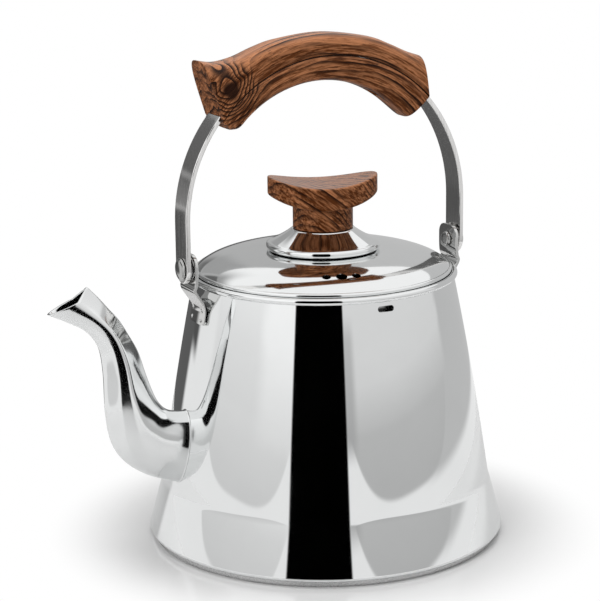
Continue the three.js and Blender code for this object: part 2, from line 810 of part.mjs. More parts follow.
function knobScrew() {
  const headTop = lidTopZ - sheet - 2 * seatGap - knobWasherThickness;
  const path = new THREE.Path();
  path.moveTo(0, headTop - knobScrewHeadHeight);
  path.quadraticCurveTo(knobScrewHeadRadius, headTop - knobScrewHeadHeight,
    knobScrewHeadRadius, headTop);
  path.lineTo(knobScrewRadius, headTop);
  path.lineTo(knobScrewRadius, knobZ + knobScrewBite - knobScrewRadius);
  path.lineTo(0, knobZ + knobScrewBite);
  return solidOf(turned(path, smallTurnSteps));
}

// The same piece at both ends of the bail: as made at the rear, turned half round at the front.
function addPair(group, name, solid, look) {
  const rear = meshOf(`rear_${name}`, solid, look);
  const front = meshOf(`front_${name}`, solid, look);
  front.rotation.z = Math.PI;
  group.add(rear, front);
}

function bodyGroup() {
  const group = new THREE.Group();
  group.add(meshOf('body_shell', bodyShell(), steel));
  group.add(meshOf('base_disc', baseDisc(), satin));
  group.add(meshOf('spout', spout(), steel));
  addPair(group, 'ear', ear(), steel);
  addPair(group, 'rivet', rivet(), satin);
  addPair(group, 'washer', washer(), satin);
  return group;
}

function bailGroup() {
  const group = new THREE.Group();
  group.add(meshOf('bail_strap', bailStrap(), satin));
  group.add(meshOf('grip_upper', gripUpper(), rosewood));
  group.add(meshOf('grip_lower', gripLower(), rosewood));
  group.add(meshOf('grip_screw_front', gripScrew(1), satin));
  group.add(meshOf('grip_screw_rear', gripScrew(-1), satin));
  return group;
}

function lidGroup() {
  const group = new THREE.Group();
  group.add(meshOf('lid', lid(), steel));
  group.add(meshOf('lid_skirt', lidSkirt(), satin));
  group.add(meshOf('knob_base', knobBase(), steel));
  const wood = meshOf('knob', knob(), rosewood);
  wood.rotation.z = THREE.MathUtils.degToRad(lidTurn);
  group.add(wood);
  group.add(meshOf('knob_washer', knobWasher(), satin));
  group.add(meshOf('knob_screw', knobScrew(), satin));
  return group;
}

const kettle = new THREE.Group();
kettle.add(bodyGroup(), bailGroup(), lidGroup());

export default kettle;
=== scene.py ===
"""Stovetop kettle in polished steel with a rosewood grip and knob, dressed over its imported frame.

Sizes are in millimetres and a finished mesh is in metres. The spout points along -X and up is +Z.
"""
import logging
import math
from collections.abc import Callable, Iterator, Sequence
from contextlib import contextmanager
from dataclasses import dataclass
from enum import Enum

import bpy
from mathutils import Matrix, Vector


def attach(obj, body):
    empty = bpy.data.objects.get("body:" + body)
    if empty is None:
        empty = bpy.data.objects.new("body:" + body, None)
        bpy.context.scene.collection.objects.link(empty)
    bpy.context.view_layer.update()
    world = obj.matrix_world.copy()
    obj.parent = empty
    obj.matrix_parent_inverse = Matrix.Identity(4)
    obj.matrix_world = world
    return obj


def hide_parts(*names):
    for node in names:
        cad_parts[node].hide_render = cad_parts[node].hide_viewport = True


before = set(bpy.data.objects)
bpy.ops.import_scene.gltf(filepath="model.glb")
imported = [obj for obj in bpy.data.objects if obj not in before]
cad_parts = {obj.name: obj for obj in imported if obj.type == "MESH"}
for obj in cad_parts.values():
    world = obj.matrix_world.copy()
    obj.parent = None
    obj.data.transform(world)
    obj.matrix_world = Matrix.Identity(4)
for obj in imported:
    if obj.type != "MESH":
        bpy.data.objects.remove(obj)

LOG = logging.getLogger("kettle")
MM = 0.001
CM = 0.1
SUPPORT = 0.3
LEAST_STEP = SUPPORT / 10
WELD = 2e-6
TURN_STEPS = 192
SMALL_STEPS = 64
SCREW_STEPS = 48
GRAIN = "grain"
# How far a face points up: it paints a paler sheen on the upward faces of the wood, and lays the
# lacquer there.
PAINTED_SHEEN = "crest"
PAINTED_SHEEN_START = 0.1
PAINTED_SHEEN_SPAN = 0.6
TINY = 1e-9

Ring = list[Vector]
Triple = tuple[float, float, float]


class Body(Enum):
    """The bodies of the frame that pieces ride on."""

    KETTLE = "kettle"
    BAIL = "bail"
    LID = "lid_assembly"


class Side(Enum):
    """The two ends of the bail: the front one is over the spout."""

    FRONT = -1
    REAR = 1


# Modelling tools


def select_only(piece: bpy.types.Object) -> None:
    """Make one piece the only selected and the active one."""
    bpy.ops.object.select_all(action="DESELECT")
    piece.select_set(True)
    bpy.context.view_layer.objects.active = piece


@contextmanager
def editing(piece: bpy.types.Object) -> Iterator[None]:
    """Edit a piece's vertices, all of them selected, and leave edit mode after."""
    select_only(piece)
    bpy.ops.object.mode_set(mode="EDIT")
    bpy.ops.mesh.select_mode(type="VERT")
    bpy.ops.mesh.select_all(action="SELECT")
    yield
    bpy.ops.object.mode_set(mode="OBJECT")


def primitive(add: Callable[..., set[str]], name: str, **settings: object) -> bpy.types.Object:
    """Add a primitive by its operator, name it and put its place into its mesh."""
    bpy.ops.object.select_all(action="DESELECT")
    add(**settings)
    piece = bpy.context.object
    piece.name = name
    piece.data.name = name
    select_only(piece)
    bpy.ops.object.transform_apply(location=True, rotation=True, scale=True)
    return piece


class Outline:
    """A profile drawn as with a pen, in radius and height."""

    def __init__(self, radius: float, height: float) -> None:
        """Set the pen down at a radius and a height."""
        self.points: Ring = [Vector((radius, height))]

    def line(self, radius: float, height: float, pitch: float = 4.0) -> "Outline":
        """Draw a straight line, with support points near its ends.

        Args:
            radius: The radius it ends at.
            height: The height it ends at.
            pitch: The longest step between its points.

        Returns:
            The outline itself.
        """
        start, end = self.points[-1], Vector((radius, height))
        length = (end - start).length
        shares = [1.0]
        if length > 4 * SUPPORT:
            near = SUPPORT / length
            count = max(1, math.ceil(length / pitch))
            shares = [near] + [i / count for i in range(1, count)] + [1 - near, 1.0]
        self.points += [start.lerp(end, share) for share in shares]
        return self

    def arc(self, centre: tuple[float, float], radius: float, start: float, end: float,
            steps: int = 6) -> "Outline":
        """Draw an arc about a centre, from one angle to another in degrees.

        Args:
            centre: The radius and height of its centre.
            radius: The arc's own radius.
            start: The angle at which it starts.
            end: The angle at which it ends.
            steps: The number of steps along it.

        Returns:
            The outline itself.
        """
        for i in range(steps + 1):
            turn = math.radians(start + (end - start) * i / steps)
            point = Vector((centre[0] + radius * math.cos(turn),
                            centre[1] + radius * math.sin(turn)))
            if (point - self.points[-1]).length > LEAST_STEP:
                self.points.append(point)
        return self

    def curve(self, *controls: tuple[float, float], steps: int = 10) -> "Outline":
        """Draw a Bezier curve through its controls to the last of them.

        Args:
            controls: The control points after the pen's place, the last one the end.
            steps: The number of steps along it.

        Returns:
            The outline itself.
        """
        frame_points = [self.points[-1]] + [Vector(control) for control in controls]
        for i in range(1, steps + 1):
            level = list(frame_points)
            while len(level) > 1:
                level = [a.lerp(b, i / steps) for a, b in zip(level, level[1:])]
            self.points.append(level[0])
        return self


def turn(name: str, outline: Outline, steps: int = TURN_STEPS,
         place: Matrix | None = None) -> bpy.types.Object:
    """Spin an outline round the Z axis into a closed skin.

    Args:
        name: The piece's name.
        outline: The profile, from its start to where it closes on the axis or on itself.
        steps: The number of steps round.
        place: Where the turned piece goes, in millimetres.

    Returns:
        The piece.
    """
    here = outline.points[0]
    piece = primitive(bpy.ops.mesh.primitive_plane_add, name, size=MM,
                      location=(here.x * MM, 0, here.y * MM))
    with editing(piece):
        bpy.ops.mesh.merge(type="CENTER")
        for point in outline.points[1:]:
            step = (point - here) * MM
            bpy.ops.mesh.extrude_region_move(TRANSFORM_OT_translate={"value": (step.x, 0, step.y)})
            here = point
        bpy.ops.mesh.select_all(action="SELECT")
        bpy.ops.mesh.spin(steps=steps, angle=math.tau, center=(0, 0, 0), axis=(0, 0, 1))
        bpy.ops.mesh.select_all(action="SELECT")
        bpy.ops.mesh.remove_doubles(threshold=WELD)
        bpy.ops.mesh.normals_make_consistent(inside=False)
    if place is not None:
        to_metres = Matrix.Scale(MM, 4)
        piece.data.transform(to_metres @ place @ to_metres.inverted())
    return piece


def skin(name: str, rings: Sequence[Ring]) -> bpy.types.Object:
    """Roll a grid into a tube through rings of points, and close its ends.

    Args:
        name: The piece's name.
        rings: Closed rings of the same number of points, in millimetres. Where the last
            ring is the first again, the tube closes on itself.

    Returns:
        The piece.
    """
    around, along = len(rings[0]), len(rings) - 1
    piece = primitive(bpy.ops.mesh.primitive_grid_add, name, x_subdivisions=around,
                      y_subdivisions=along, size=1)
    for vertex in piece.data.vertices:
        column = round((vertex.co.x + 0.5) * around)
        row = round((vertex.co.y + 0.5) * along)
        vertex.co = rings[row][column % around] * MM
    with editing(piece):
        bpy.ops.mesh.remove_doubles(threshold=WELD)
        bpy.ops.mesh.select_all(action="SELECT")
        bpy.ops.mesh.fill_holes(sides=0)
        bpy.ops.mesh.select_all(action="SELECT")
        bpy.ops.mesh.normals_make_consistent(inside=False)
    return piece


def carve(piece: bpy.types.Object, cutter: bpy.types.Object) -> None:
    """Take a cutter's space out of a piece, and throw the cutter away."""
    select_only(piece)
    modifier = piece.modifiers.new("carve", "BOOLEAN")
    modifier.operation = "DIFFERENCE"
    modifier.solver = "EXACT"
    modifier.object = cutter
    bpy.ops.object.modifier_apply(modifier=modifier.name)
    bpy.data.objects.remove(cutter)


def drill(centre: Vector, direction: Vector, radius: float, length: float,
          steps: int = 32) -> bpy.types.Object:
    """A round cutter.

    Args:
        centre: Its middle, in millimetres.
        direction: The way that its axis points.
        radius: Its radius.
        length: Its length.
        steps: Its number of sides.

    Returns:
        The cutter.
    """
    turned = direction.to_track_quat("Z", "Y").to_euler()
    return primitive(bpy.ops.mesh.primitive_cylinder_add, "drill", vertices=steps,
                     radius=radius * MM, depth=length * MM, location=centre * MM, rotation=turned)


def copied(piece: bpy.types.Object, name: str, place: Matrix) -> bpy.types.Object:
    """A copy with its own mesh, moved by a matrix about the origin."""
    twin = piece.copy()
    twin.data = piece.data.copy()
    twin.name = name
    twin.data.name = name
    bpy.context.collection.objects.link(twin)
    twin.data.transform(place)
    return twin


def finish(piece: bpy.types.Object, body: Body, look: "Finish", nodes: Sequence[str] = (),
           crease: float = 30.0) -> bpy.types.Object:
    """Smooth a piece, give it its finish and set it on its body.

    Args:
        piece: The finished mesh.
        body: The body it rides on.
        look: Its finish.
        nodes: The CAD nodes it stands for.
        crease: The angle in degrees over which an edge stays sharp.

    Returns:
        The piece.
    """
    select_only(piece)
    bpy.ops.object.shade_smooth_by_angle(angle=math.radians(crease))
    modifier = piece.modifiers.new("even", "WEIGHTED_NORMAL")
    modifier.keep_sharp = True
    bpy.ops.object.modifier_apply(modifier=modifier.name)
    piece.data.materials.clear()
    piece.data.materials.append(look.material())
    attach(piece, body.value)
    if nodes:
        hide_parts(*nodes)
    LOG.info("%s: %d faces", piece.name, len(piece.data.polygons))
    return piece


def mark_grain(piece: bpy.types.Object, place: Callable[[Vector], Vector]) -> None:
    """Store where each point lies in the wood, in centimetres, and how far it faces up, which the
    wood uses for a painted sheen.
    """
    layer = piece.data.attributes.new(GRAIN, "FLOAT_VECTOR", "POINT")
    for vertex, value in zip(piece.data.vertices, layer.data):
        value.vector = place(vertex.co / MM) * CM
    # How far each point faces up: the mask of the painted sheen on upward faces.
    layer = piece.data.attributes.new(PAINTED_SHEEN, "FLOAT", "POINT")
    for vertex, value in zip(piece.data.vertices, layer.data):
        value.value = min(1.0, max(0.0, (vertex.normal.z - PAINTED_SHEEN_START) / PAINTED_SHEEN_SPAN))


def smooth_between(values: Sequence[float] | Ring, place: float) -> float | Vector:
    """A value on a smooth curve through a row of them, at an index with a fraction."""
    last = len(values) - 1
    index = min(max(int(place), 0), last - 1)
    share = place - index
    before, start, end, after = (values[min(max(index + step, 0), last)] for step in (-1, 0, 1, 2))
    into, out = (end - before) / 2, (after - start) / 2
    return ((2 * start - 2 * end + into + out) * share ** 3
            + (3 * end - 3 * start - 2 * into - out) * share ** 2 + into * share + start)


def table_values(rows: Sequence[Sequence[float]], place: float) -> list[float]:
    """The smooth values of a table's columns, at a place from 0 to 1 along its rows."""
    return [smooth_between(column, place * (len(rows) - 1)) for column in zip(*rows)]


def lerp(start: float, end: float, share: float) -> float:
    """A value between two others."""
    return start + (end - start) * share


def rounded_bar(half_width: float, half_depth: float, edge: float, corner_steps: int = 3,
                flat_steps: int = 6) -> list[tuple[float, float]]:
    """The section of a bar with rounded edges, as pairs of across and up.

    Args:
        half_width: Half its width, across.
        half_depth: Half its thickness, up.
        edge: The radius of its edges.
        corner_steps: The steps round each edge.
        flat_steps: The steps over each wide face.

    Returns:
        The points round it.
    """
    fullest = 0.95
    edge = min(edge, half_width * fullest, half_depth * fullest)
    points: list[tuple[float, float]] = []
    for quarter, (right, top) in enumerate(((1, 1), (-1, 1), (-1, -1), (1, -1))):
        across, up = right * (half_width - edge), top * (half_depth - edge)
        for i in range(corner_steps + 1):
            angle = math.radians(90 * (quarter + i / corner_steps))
            points.append((across + edge * math.cos(angle), up + edge * math.sin(angle)))
        if quarter in (0, 2):
            points += [(lerp(across, -across, i / flat_steps), top * half_depth)
                       for i in range(1, flat_steps)]
    return points


def screw_outline(head: float, shank: float, low: float, top: float, end: float,
                  dome: float) -> Outline:
    """The section of a domed screw that stands on its head.

    Args:
        head: The radius of its head.
        shank: The radius of its shank.
        low: The height of the dome's crest.
        top: The height of the head's flat side.
        end: The height of the shank's end.
        dome: How far the dome reaches up before the head is at its full radius.

    Returns:
        The outline.
    """
    ease = 0.2
    draw = Outline(0, low)
    draw.curve((head * 0.7, low), (head, low + dome), (head, top - ease))
    draw.line(head - ease, top)
    draw.line(shank, top)
    draw.line(shank, end - shank)
    return draw.line(0, end)


# Finishes


class Pen:
    """Adds nodes to a tree and joins them."""

    def __init__(self, tree: bpy.types.NodeTree) -> None:
        """Start on a tree."""
        self.tree = tree

    def add(self, kind: str, **settings: object) -> bpy.types.Node:
        """Add a node and set its own settings."""
        node = self.tree.nodes.new(kind)
        for name, value in settings.items():
            setattr(node, name, value)
        return node

    def feed(self, socket: bpy.types.NodeSocket, value: object) -> None:
        """Join an output to an input, or set the input's value."""
        if isinstance(value, bpy.types.NodeSocket):
            self.tree.links.new(value, socket)
        else:
            socket.default_value = value

    def math(self, operation: str, first: object, second: object = 0.0) -> bpy.types.NodeSocket:
        """Work out one operation on values or outputs."""
        node = self.add("ShaderNodeMath", operation=operation)
        self.feed(node.inputs[0], first)
        self.feed(node.inputs[1], second)
        return node.outputs[0]

    def plus(self, first: object, second: object) -> bpy.types.NodeSocket:
        """Add two values or outputs."""
        return self.math("ADD", first, second)

    def minus(self, first: object, second: object) -> bpy.types.NodeSocket:
        """Take one value or output from another."""
        return self.math("SUBTRACT", first, second)

    def times(self, first: object, second: object) -> bpy.types.NodeSocket:
        """Multiply two values or outputs."""
        return self.math("MULTIPLY", first, second)

    def most(self, first: object, second: object) -> bpy.types.NodeSocket:
        """Take the greater of two values or outputs."""
        return self.math("MAXIMUM", first, second)

    def parts(self, vector: object) -> bpy.types.NodeOutputs:
        """Split a vector into its X, Y and Z."""
        node = self.add("ShaderNodeSeparateXYZ")
        self.feed(node.inputs[0], vector)
        return node.outputs

    def span(self, value: object, low: float, high: float, out_low: float = 0.0,
             out_high: float = 1.0, kind: str = "SMOOTHSTEP") -> bpy.types.NodeSocket:
        """Map a value from one range to another, held at its ends."""
        node = self.add("ShaderNodeMapRange", interpolation_type=kind)
        for slot_name, item in (("Value", value), ("From Min", low), ("From Max", high),
                                ("To Min", out_low), ("To Max", out_high)):
            self.feed(node.inputs[slot_name], item)
        return node.outputs["Result"]

    def blend(self, share: object, first: object, second: object) -> bpy.types.NodeSocket:
        """Mix two colours."""
        node = self.add("ShaderNodeMix", data_type="RGBA")
        self.feed(node.inputs["Factor"], share)
        self.feed(node.inputs[6], first)
        self.feed(node.inputs[7], second)
        return node.outputs[2]

    def stretched(self, vector: object, scale: Triple, turned: Triple = (0, 0, 0),
                  moved: Triple = (0, 0, 0)) -> bpy.types.NodeSocket:
        """A vector turned in degrees, stretched and moved."""
        node = self.add("ShaderNodeMapping")
        self.feed(node.inputs["Vector"], vector)
        node.inputs["Location"].default_value = moved
        node.inputs["Rotation"].default_value = [math.radians(angle) for angle in turned]
        node.inputs["Scale"].default_value = scale
        return node.outputs[0]

    def noise(self, vector: object, scale: float, detail: float = 2.0,
              rough: float = 0.5) -> bpy.types.NodeSocket:
        """Soft noise from 0 to 1."""
        node = self.add("ShaderNodeTexNoise")
        self.feed(node.inputs["Vector"], vector)
        for slot_name, item in (("Scale", scale), ("Detail", detail), ("Roughness", rough)):
            self.feed(node.inputs[slot_name], item)
        return node.outputs["Fac"]


def new_material(name: str) -> tuple[bpy.types.Material, Pen]:
    """Make a material with nodes, and a pen on them."""
    material = bpy.data.materials.new(name)
    material.use_nodes = True
    return material, Pen(material.node_tree)


class Kind(Enum):
    """The kinds of a node group's sockets."""

    VALUE = "NodeSocketFloat"
    VECTOR = "NodeSocketVector"
    COLOUR = "NodeSocketColor"


@dataclass(frozen=True)
class SharedGroup:
    """A shader node group that several finishes use: its sockets and the rule that draws it."""

    name: str
    inputs: tuple[tuple[str, Kind, object], ...]
    outputs: tuple[tuple[str, Kind], ...]
    draw: Callable[[Pen, bpy.types.NodeOutputs, bpy.types.NodeInputs], None]

    def tree(self) -> bpy.types.NodeTree:
        """The group's tree, drawn at its first use."""
        if self.name in bpy.data.node_groups:
            return bpy.data.node_groups[self.name]
        tree = bpy.data.node_groups.new(self.name, "ShaderNodeTree")
        for label, kind, default in self.inputs:
            socket = tree.interface.new_socket(label, in_out="INPUT", socket_type=kind.value)
            if default is not None:
                socket.default_value = default
        for label, kind in self.outputs:
            tree.interface.new_socket(label, in_out="OUTPUT", socket_type=kind.value)
        pen = Pen(tree)
        self.draw(pen, pen.add("NodeGroupInput").outputs, pen.add("NodeGroupOutput").inputs)
        return tree


def draw_smudges(pen: Pen, given: bpy.types.NodeOutputs, out: bpy.types.NodeInputs) -> None:
    """Roughness of handled metal: a low value with soft duller smears and faint wipe lines."""
    broad = pen.noise(given["Vector"], given["Scale"], 3.0, 0.6)
    smear = pen.span(broad, 0.5, 0.8)
    wiped = pen.noise(pen.stretched(given["Vector"], (1, 1, 9)), 45.0, 1.0, 0.5)
    share = pen.times(smear, pen.span(wiped, 0.3, 0.7, 0.7, 1.0))
    extra = pen.times(share, pen.minus(given["Smeared"], given["Clean"]))
    pen.feed(out["Roughness"], pen.plus(given["Clean"], extra))
    pen.feed(out["Height"], broad)


def draw_brushed(pen: Pen, given: bpy.types.NodeOutputs, out: bpy.types.NodeInputs) -> None:
    """Fine lines of a satin belt, along the vector's X."""
    lines = pen.noise(pen.stretched(given["Vector"], (30, 1600, 1600)), 1.0, 3.0, 0.7)
    share = pen.span(lines, 0.3, 0.7)
    spread = pen.minus(given["High"], given["Low"])
    pen.feed(out["Roughness"], pen.plus(given["Low"], pen.times(share, spread)))
    pen.feed(out["Height"], lines)


def draw_wood(pen: Pen, given: bpy.types.NodeOutputs, out: bpy.types.NodeInputs) -> None:
    """Figure of rosewood: growth lines that bend round a knot, fine fibres and short pores, and a
    painted sheen that makes upward faces paler.
    """
    vector, swirl = given["Vector"], given["Swirl"]
    split = pen.parts(vector)
    knot_shape = (0.95, 0.9, 0.72)
    away = pen.add("ShaderNodeVectorMath", operation="DISTANCE")
    pen.feed(away.inputs[0], pen.stretched(vector, knot_shape))
    pen.feed(away.inputs[1], pen.stretched(given["Knot"], knot_shape))
    ripple = pen.noise(pen.stretched(vector, (0.7, 1.1, 1.1), moved=(4, 7, 3)), 1.0, 1.0, 0.5)
    reach = pen.plus(away.outputs["Value"], pen.span(ripple, 0.25, 0.75, -0.16, 0.16))
    squared = pen.math("POWER", pen.math("ABSOLUTE", reach), 2.0)
    round_knot = pen.math("EXPONENT", pen.times(squared, -1.3))
    knotty = pen.span(swirl, 0.0, 1.0)
    by_knot = pen.times(pen.span(round_knot, 0.02, 0.3), knotty)
    drift = pen.noise(pen.stretched(vector, (0.16, 0.55, 0.55)), 1.0, 2.0, 0.5)
    fine = pen.noise(pen.stretched(vector, (0.4, 3.0, 3.0)), 1.0, 2.0, 0.5)
    level = split["Z"]
    for part, weight in ((split["Y"], 0.55), (drift, given["Drift"]), (fine, 0.14),
                         (round_knot, swirl)):
        level = pen.plus(level, pen.times(part, weight))
    bands = pen.times(level, given["Bands"])
    veins = []
    for often, start, moved, weak, near in ((1.0, 0.22, (3, 1, 7), 0.2, 1.0),
                                            (2.7, 0.5, (6, 2, 4), 0.0, 0.3)):
        phase = pen.math("FRACT", pen.times(bands, often))
        line = pen.times(pen.span(phase, start, 0.93), pen.span(phase, 0.93, 1.0, 1.0, 0.0))
        patch = pen.noise(pen.stretched(vector, (0.3, 1.7, 1.7), moved=moved), 1.0, 2.0)
        strength = pen.most(pen.span(patch, 0.32, 0.62, weak, 1.0), pen.times(by_knot, near))
        sharp = pen.minus(1.3, pen.times(by_knot, 0.75))
        veins.append(pen.times(pen.math("POWER", line, sharp), strength))
    heart = pen.times(pen.span(round_knot, 0.80, 0.97, 0.0, 0.95), knotty)
    vein = pen.most(pen.most(veins[0], heart), pen.times(veins[1], 0.5))
    tone = pen.noise(pen.stretched(vector, (0.35, 2.2, 2.2), moved=(9, 4, 2)), 1.0, 3.0, 0.6)
    fibre = pen.noise(pen.stretched(vector, (0.8, 11, 11), moved=(1, 8, 5)), 1.0, 3.0, 0.7)
    mottle_and_painted_sheen = pen.plus(pen.span(tone, 0.3, 0.7, -0.05, 0.6),
                      pen.span(fibre, 0.36, 0.64, -0.38, 0.65))
    # Painted sheen: upward faces are made paler, as if lit from above.
    mottle_and_painted_sheen = pen.plus(mottle_and_painted_sheen, pen.times(given["Crest"], 0.8))
    base = pen.blend(pen.span(mottle_and_painted_sheen, 0.0, 1.0, 0.0, 1.0, "LINEAR"), given["Middle"], given["Pale"])
    pores = pen.noise(pen.stretched(vector, (2.6, 24, 24)), 1.0, 3.0, 0.6)
    pore = pen.span(pores, 0.56, 0.68)
    dark = pen.most(vein, pen.times(pore, 0.6))
    pen.feed(out["Color"], pen.blend(dark, base, given["Dark"]))
    sunk = pen.plus(pen.times(pore, 0.6), pen.times(vein, 0.3))
    pen.feed(out["Height"], pen.minus(1.0, sunk))
    pen.feed(out["Gloss"], pen.times(pore, 0.18))


SMUDGES = SharedGroup(
    "smudges",
    (("Vector", Kind.VECTOR, None), ("Clean", Kind.VALUE, 0.04), ("Smeared", Kind.VALUE, 0.1),
     ("Scale", Kind.VALUE, 30.0)),
    (("Roughness", Kind.VALUE), ("Height", Kind.VALUE)),
    draw_smudges)
BRUSHED_LINES = SharedGroup(
    "brushed_lines",
    (("Vector", Kind.VECTOR, None), ("Low", Kind.VALUE, 0.25), ("High", Kind.VALUE, 0.4)),
    (("Roughness", Kind.VALUE), ("Height", Kind.VALUE)),
    draw_brushed)
WOOD_FIGURE = SharedGroup(
    "wood_figure",
    (("Vector", Kind.VECTOR, None), ("Pale", Kind.COLOUR, (0.47, 0.19, 0.082, 1)),
     ("Middle", Kind.COLOUR, (0.105, 0.029, 0.006, 1)),
     ("Dark", Kind.COLOUR, (0.010, 0.002, 0.0003, 1)), ("Bands", Kind.VALUE, 3.4),
     ("Swirl", Kind.VALUE, 1.6), ("Drift", Kind.VALUE, 1.2), ("Crest", Kind.VALUE, 0.0),
     ("Knot", Kind.VECTOR, None)),
    (("Color", Kind.COLOUR), ("Height", Kind.VALUE), ("Gloss", Kind.VALUE)),
    draw_wood)


@dataclass(frozen=True)
class Finish:
    """A material's surface, the slot name that it carries, and its shared settings."""

    name: str
    slot: str

    def material(self) -> bpy.types.Material:
        """The finish's material, made at its first use."""
        known = bpy.data.materials.get(self.name)
        if known is not None:
            return known
        material, pen = new_material(self.name)
        self.paint(pen, pen.tree.nodes["Principled BSDF"])
        return material

    def paint(self, pen: Pen, shader: bpy.types.Node) -> None:
        """Join the finish's nodes to the shader."""
        raise NotImplementedError

    def placed(self, pen: Pen, group: SharedGroup, vector: object,
               **values: object) -> bpy.types.Node:
        """Place a shared group on a vector, with its own values."""
        node = pen.add("ShaderNodeGroup", node_tree=group.tree())
        pen.feed(node.inputs["Vector"], vector)
        for name, item in values.items():
            pen.feed(node.inputs[name], item)
        return node

    def bump(self, pen: Pen, shader: bpy.types.Node, height: object, distance: float) -> None:
        """Feed a height through a bump to the shader's normal."""
        node = pen.add("ShaderNodeBump")
        node.inputs["Strength"].default_value = 1.0
        node.inputs["Distance"].default_value = distance
        pen.feed(node.inputs["Height"], height)
        pen.feed(shader.inputs["Normal"], node.outputs["Normal"])


@dataclass(frozen=True)
class PolishedSteel(Finish):
    """Mirror-polished stainless steel, with faint smears and pressing waves."""

    tint: Triple = (0.85, 0.86, 0.86)
    clean: float = 0.035
    smeared: float = 0.06
    wave: float = 0.00002
    worn: float = 0.975

    def paint(self, pen: Pen, shader: bpy.types.Node) -> None:
        """Join smears to the roughness and a slow wave to the normal."""
        place = pen.add("ShaderNodeTexCoord").outputs["Object"]
        smudges = self.placed(pen, SMUDGES, place, Clean=self.clean, Smeared=self.smeared)
        shader.inputs["Metallic"].default_value = 1.0
        pen.feed(shader.inputs["Roughness"], smudges.outputs["Roughness"])
        tone = pen.span(smudges.outputs["Height"], 0.3, 0.7)
        dull = tuple(channel * self.worn for channel in self.tint)
        pen.feed(shader.inputs["Base Color"], pen.blend(tone, (*dull, 1), (*self.tint, 1)))
        slow = pen.noise(pen.stretched(place, (1, 1, 0.6)), 16.0, 1.0, 0.3)
        self.bump(pen, shader, slow, self.wave)


@dataclass(frozen=True)
class SatinSteel(Finish):
    """Belt-brushed stainless steel."""

    tint: Triple = (0.52, 0.52, 0.52)
    low: float = 0.22
    high: float = 0.36
    turned: Triple = (0, 90, 0)
    relief: float = 0.00001
    worn: float = 0.88

    def paint(self, pen: Pen, shader: bpy.types.Node) -> None:
        """Join the brushed lines to the roughness, the tone and the normal."""
        place = pen.add("ShaderNodeTexCoord").outputs["Object"]
        along = pen.stretched(place, (1, 1, 1), turned=self.turned)
        lines = self.placed(pen, BRUSHED_LINES, along, Low=self.low, High=self.high)
        shader.inputs["Metallic"].default_value = 1.0
        pen.feed(shader.inputs["Roughness"], lines.outputs["Roughness"])
        dull = tuple(channel * self.worn for channel in self.tint)
        share = pen.span(lines.outputs["Height"], 0.35, 0.65)
        pen.feed(shader.inputs["Base Color"], pen.blend(share, (*dull, 1), (*self.tint, 1)))
        self.bump(pen, shader, lines.outputs["Height"], self.relief)


@dataclass(frozen=True)
class Rosewood(Finish):
    """Lacquered rosewood, whose figure follows the stored grain, with a painted sheen that makes
    upward faces paler and, where set, a dark line of painted shade and dirt along the parting line.
    """

    turned: Triple = (0, 0, 0)
    moved: Triple = (0, 0, 0)
    bands: float = 2.3
    swirl: float = 2.3
    drift: float = 1.2
    knot: Triple = (-5.3, -1.0, 0.6)
    roughness: float = 0.3
    shine: float = 0.06
    lacquer: float = 0.4
    lacquer_roughness: float = 0.22
    # A dark line along the parting line between the halves: painted shade, with some dirt.
    seam_shade_and_dirt: float = 0.95
    seam_shade_and_dirt_colour: Triple = (0.012, 0.004, 0.002)
    relief: float = 0.00012

    def paint(self, pen: Pen, shader: bpy.types.Node) -> None:
        """Join the figure to the colour, the roughness and the normal."""
        grain = pen.add("ShaderNodeAttribute", attribute_name=GRAIN, attribute_type="GEOMETRY")
        upward = pen.add("ShaderNodeAttribute", attribute_name=PAINTED_SHEEN, attribute_type="GEOMETRY")
        # How far each face points up: it paints the sheen on upward faces and sets the lacquer's
        # weight there.
        crest = upward.outputs["Fac"]
        vector = pen.stretched(grain.outputs["Vector"], (1, 1, 1), turned=self.turned,
                               moved=self.moved)
        figure = self.placed(pen, WOOD_FIGURE, vector, Bands=self.bands, Swirl=self.swirl,
                             Drift=self.drift, Knot=self.knot, Crest=crest)
        # Painted shade and dirt: the colour goes dark along the parting line, where the grain's
        # height out of the arch is near zero.
        height = pen.math("ABSOLUTE", pen.parts(grain.outputs["Vector"])["Z"])
        joint = pen.span(height, 0.018, 0.05, self.seam_shade_and_dirt, 0.0)
        pen.feed(shader.inputs["Base Color"],
                 pen.blend(joint, figure.outputs["Color"], (*self.seam_shade_and_dirt_colour, 1)))
        pen.feed(shader.inputs["Roughness"], pen.plus(figure.outputs["Gloss"], self.roughness))
        shader.inputs["Specular IOR Level"].default_value = self.shine
        shader.inputs["Coat Roughness"].default_value = self.lacquer_roughness
        pen.feed(shader.inputs["Coat Weight"], pen.times(crest, self.lacquer))
        self.bump(pen, shader, figure.outputs["Height"], self.relief)


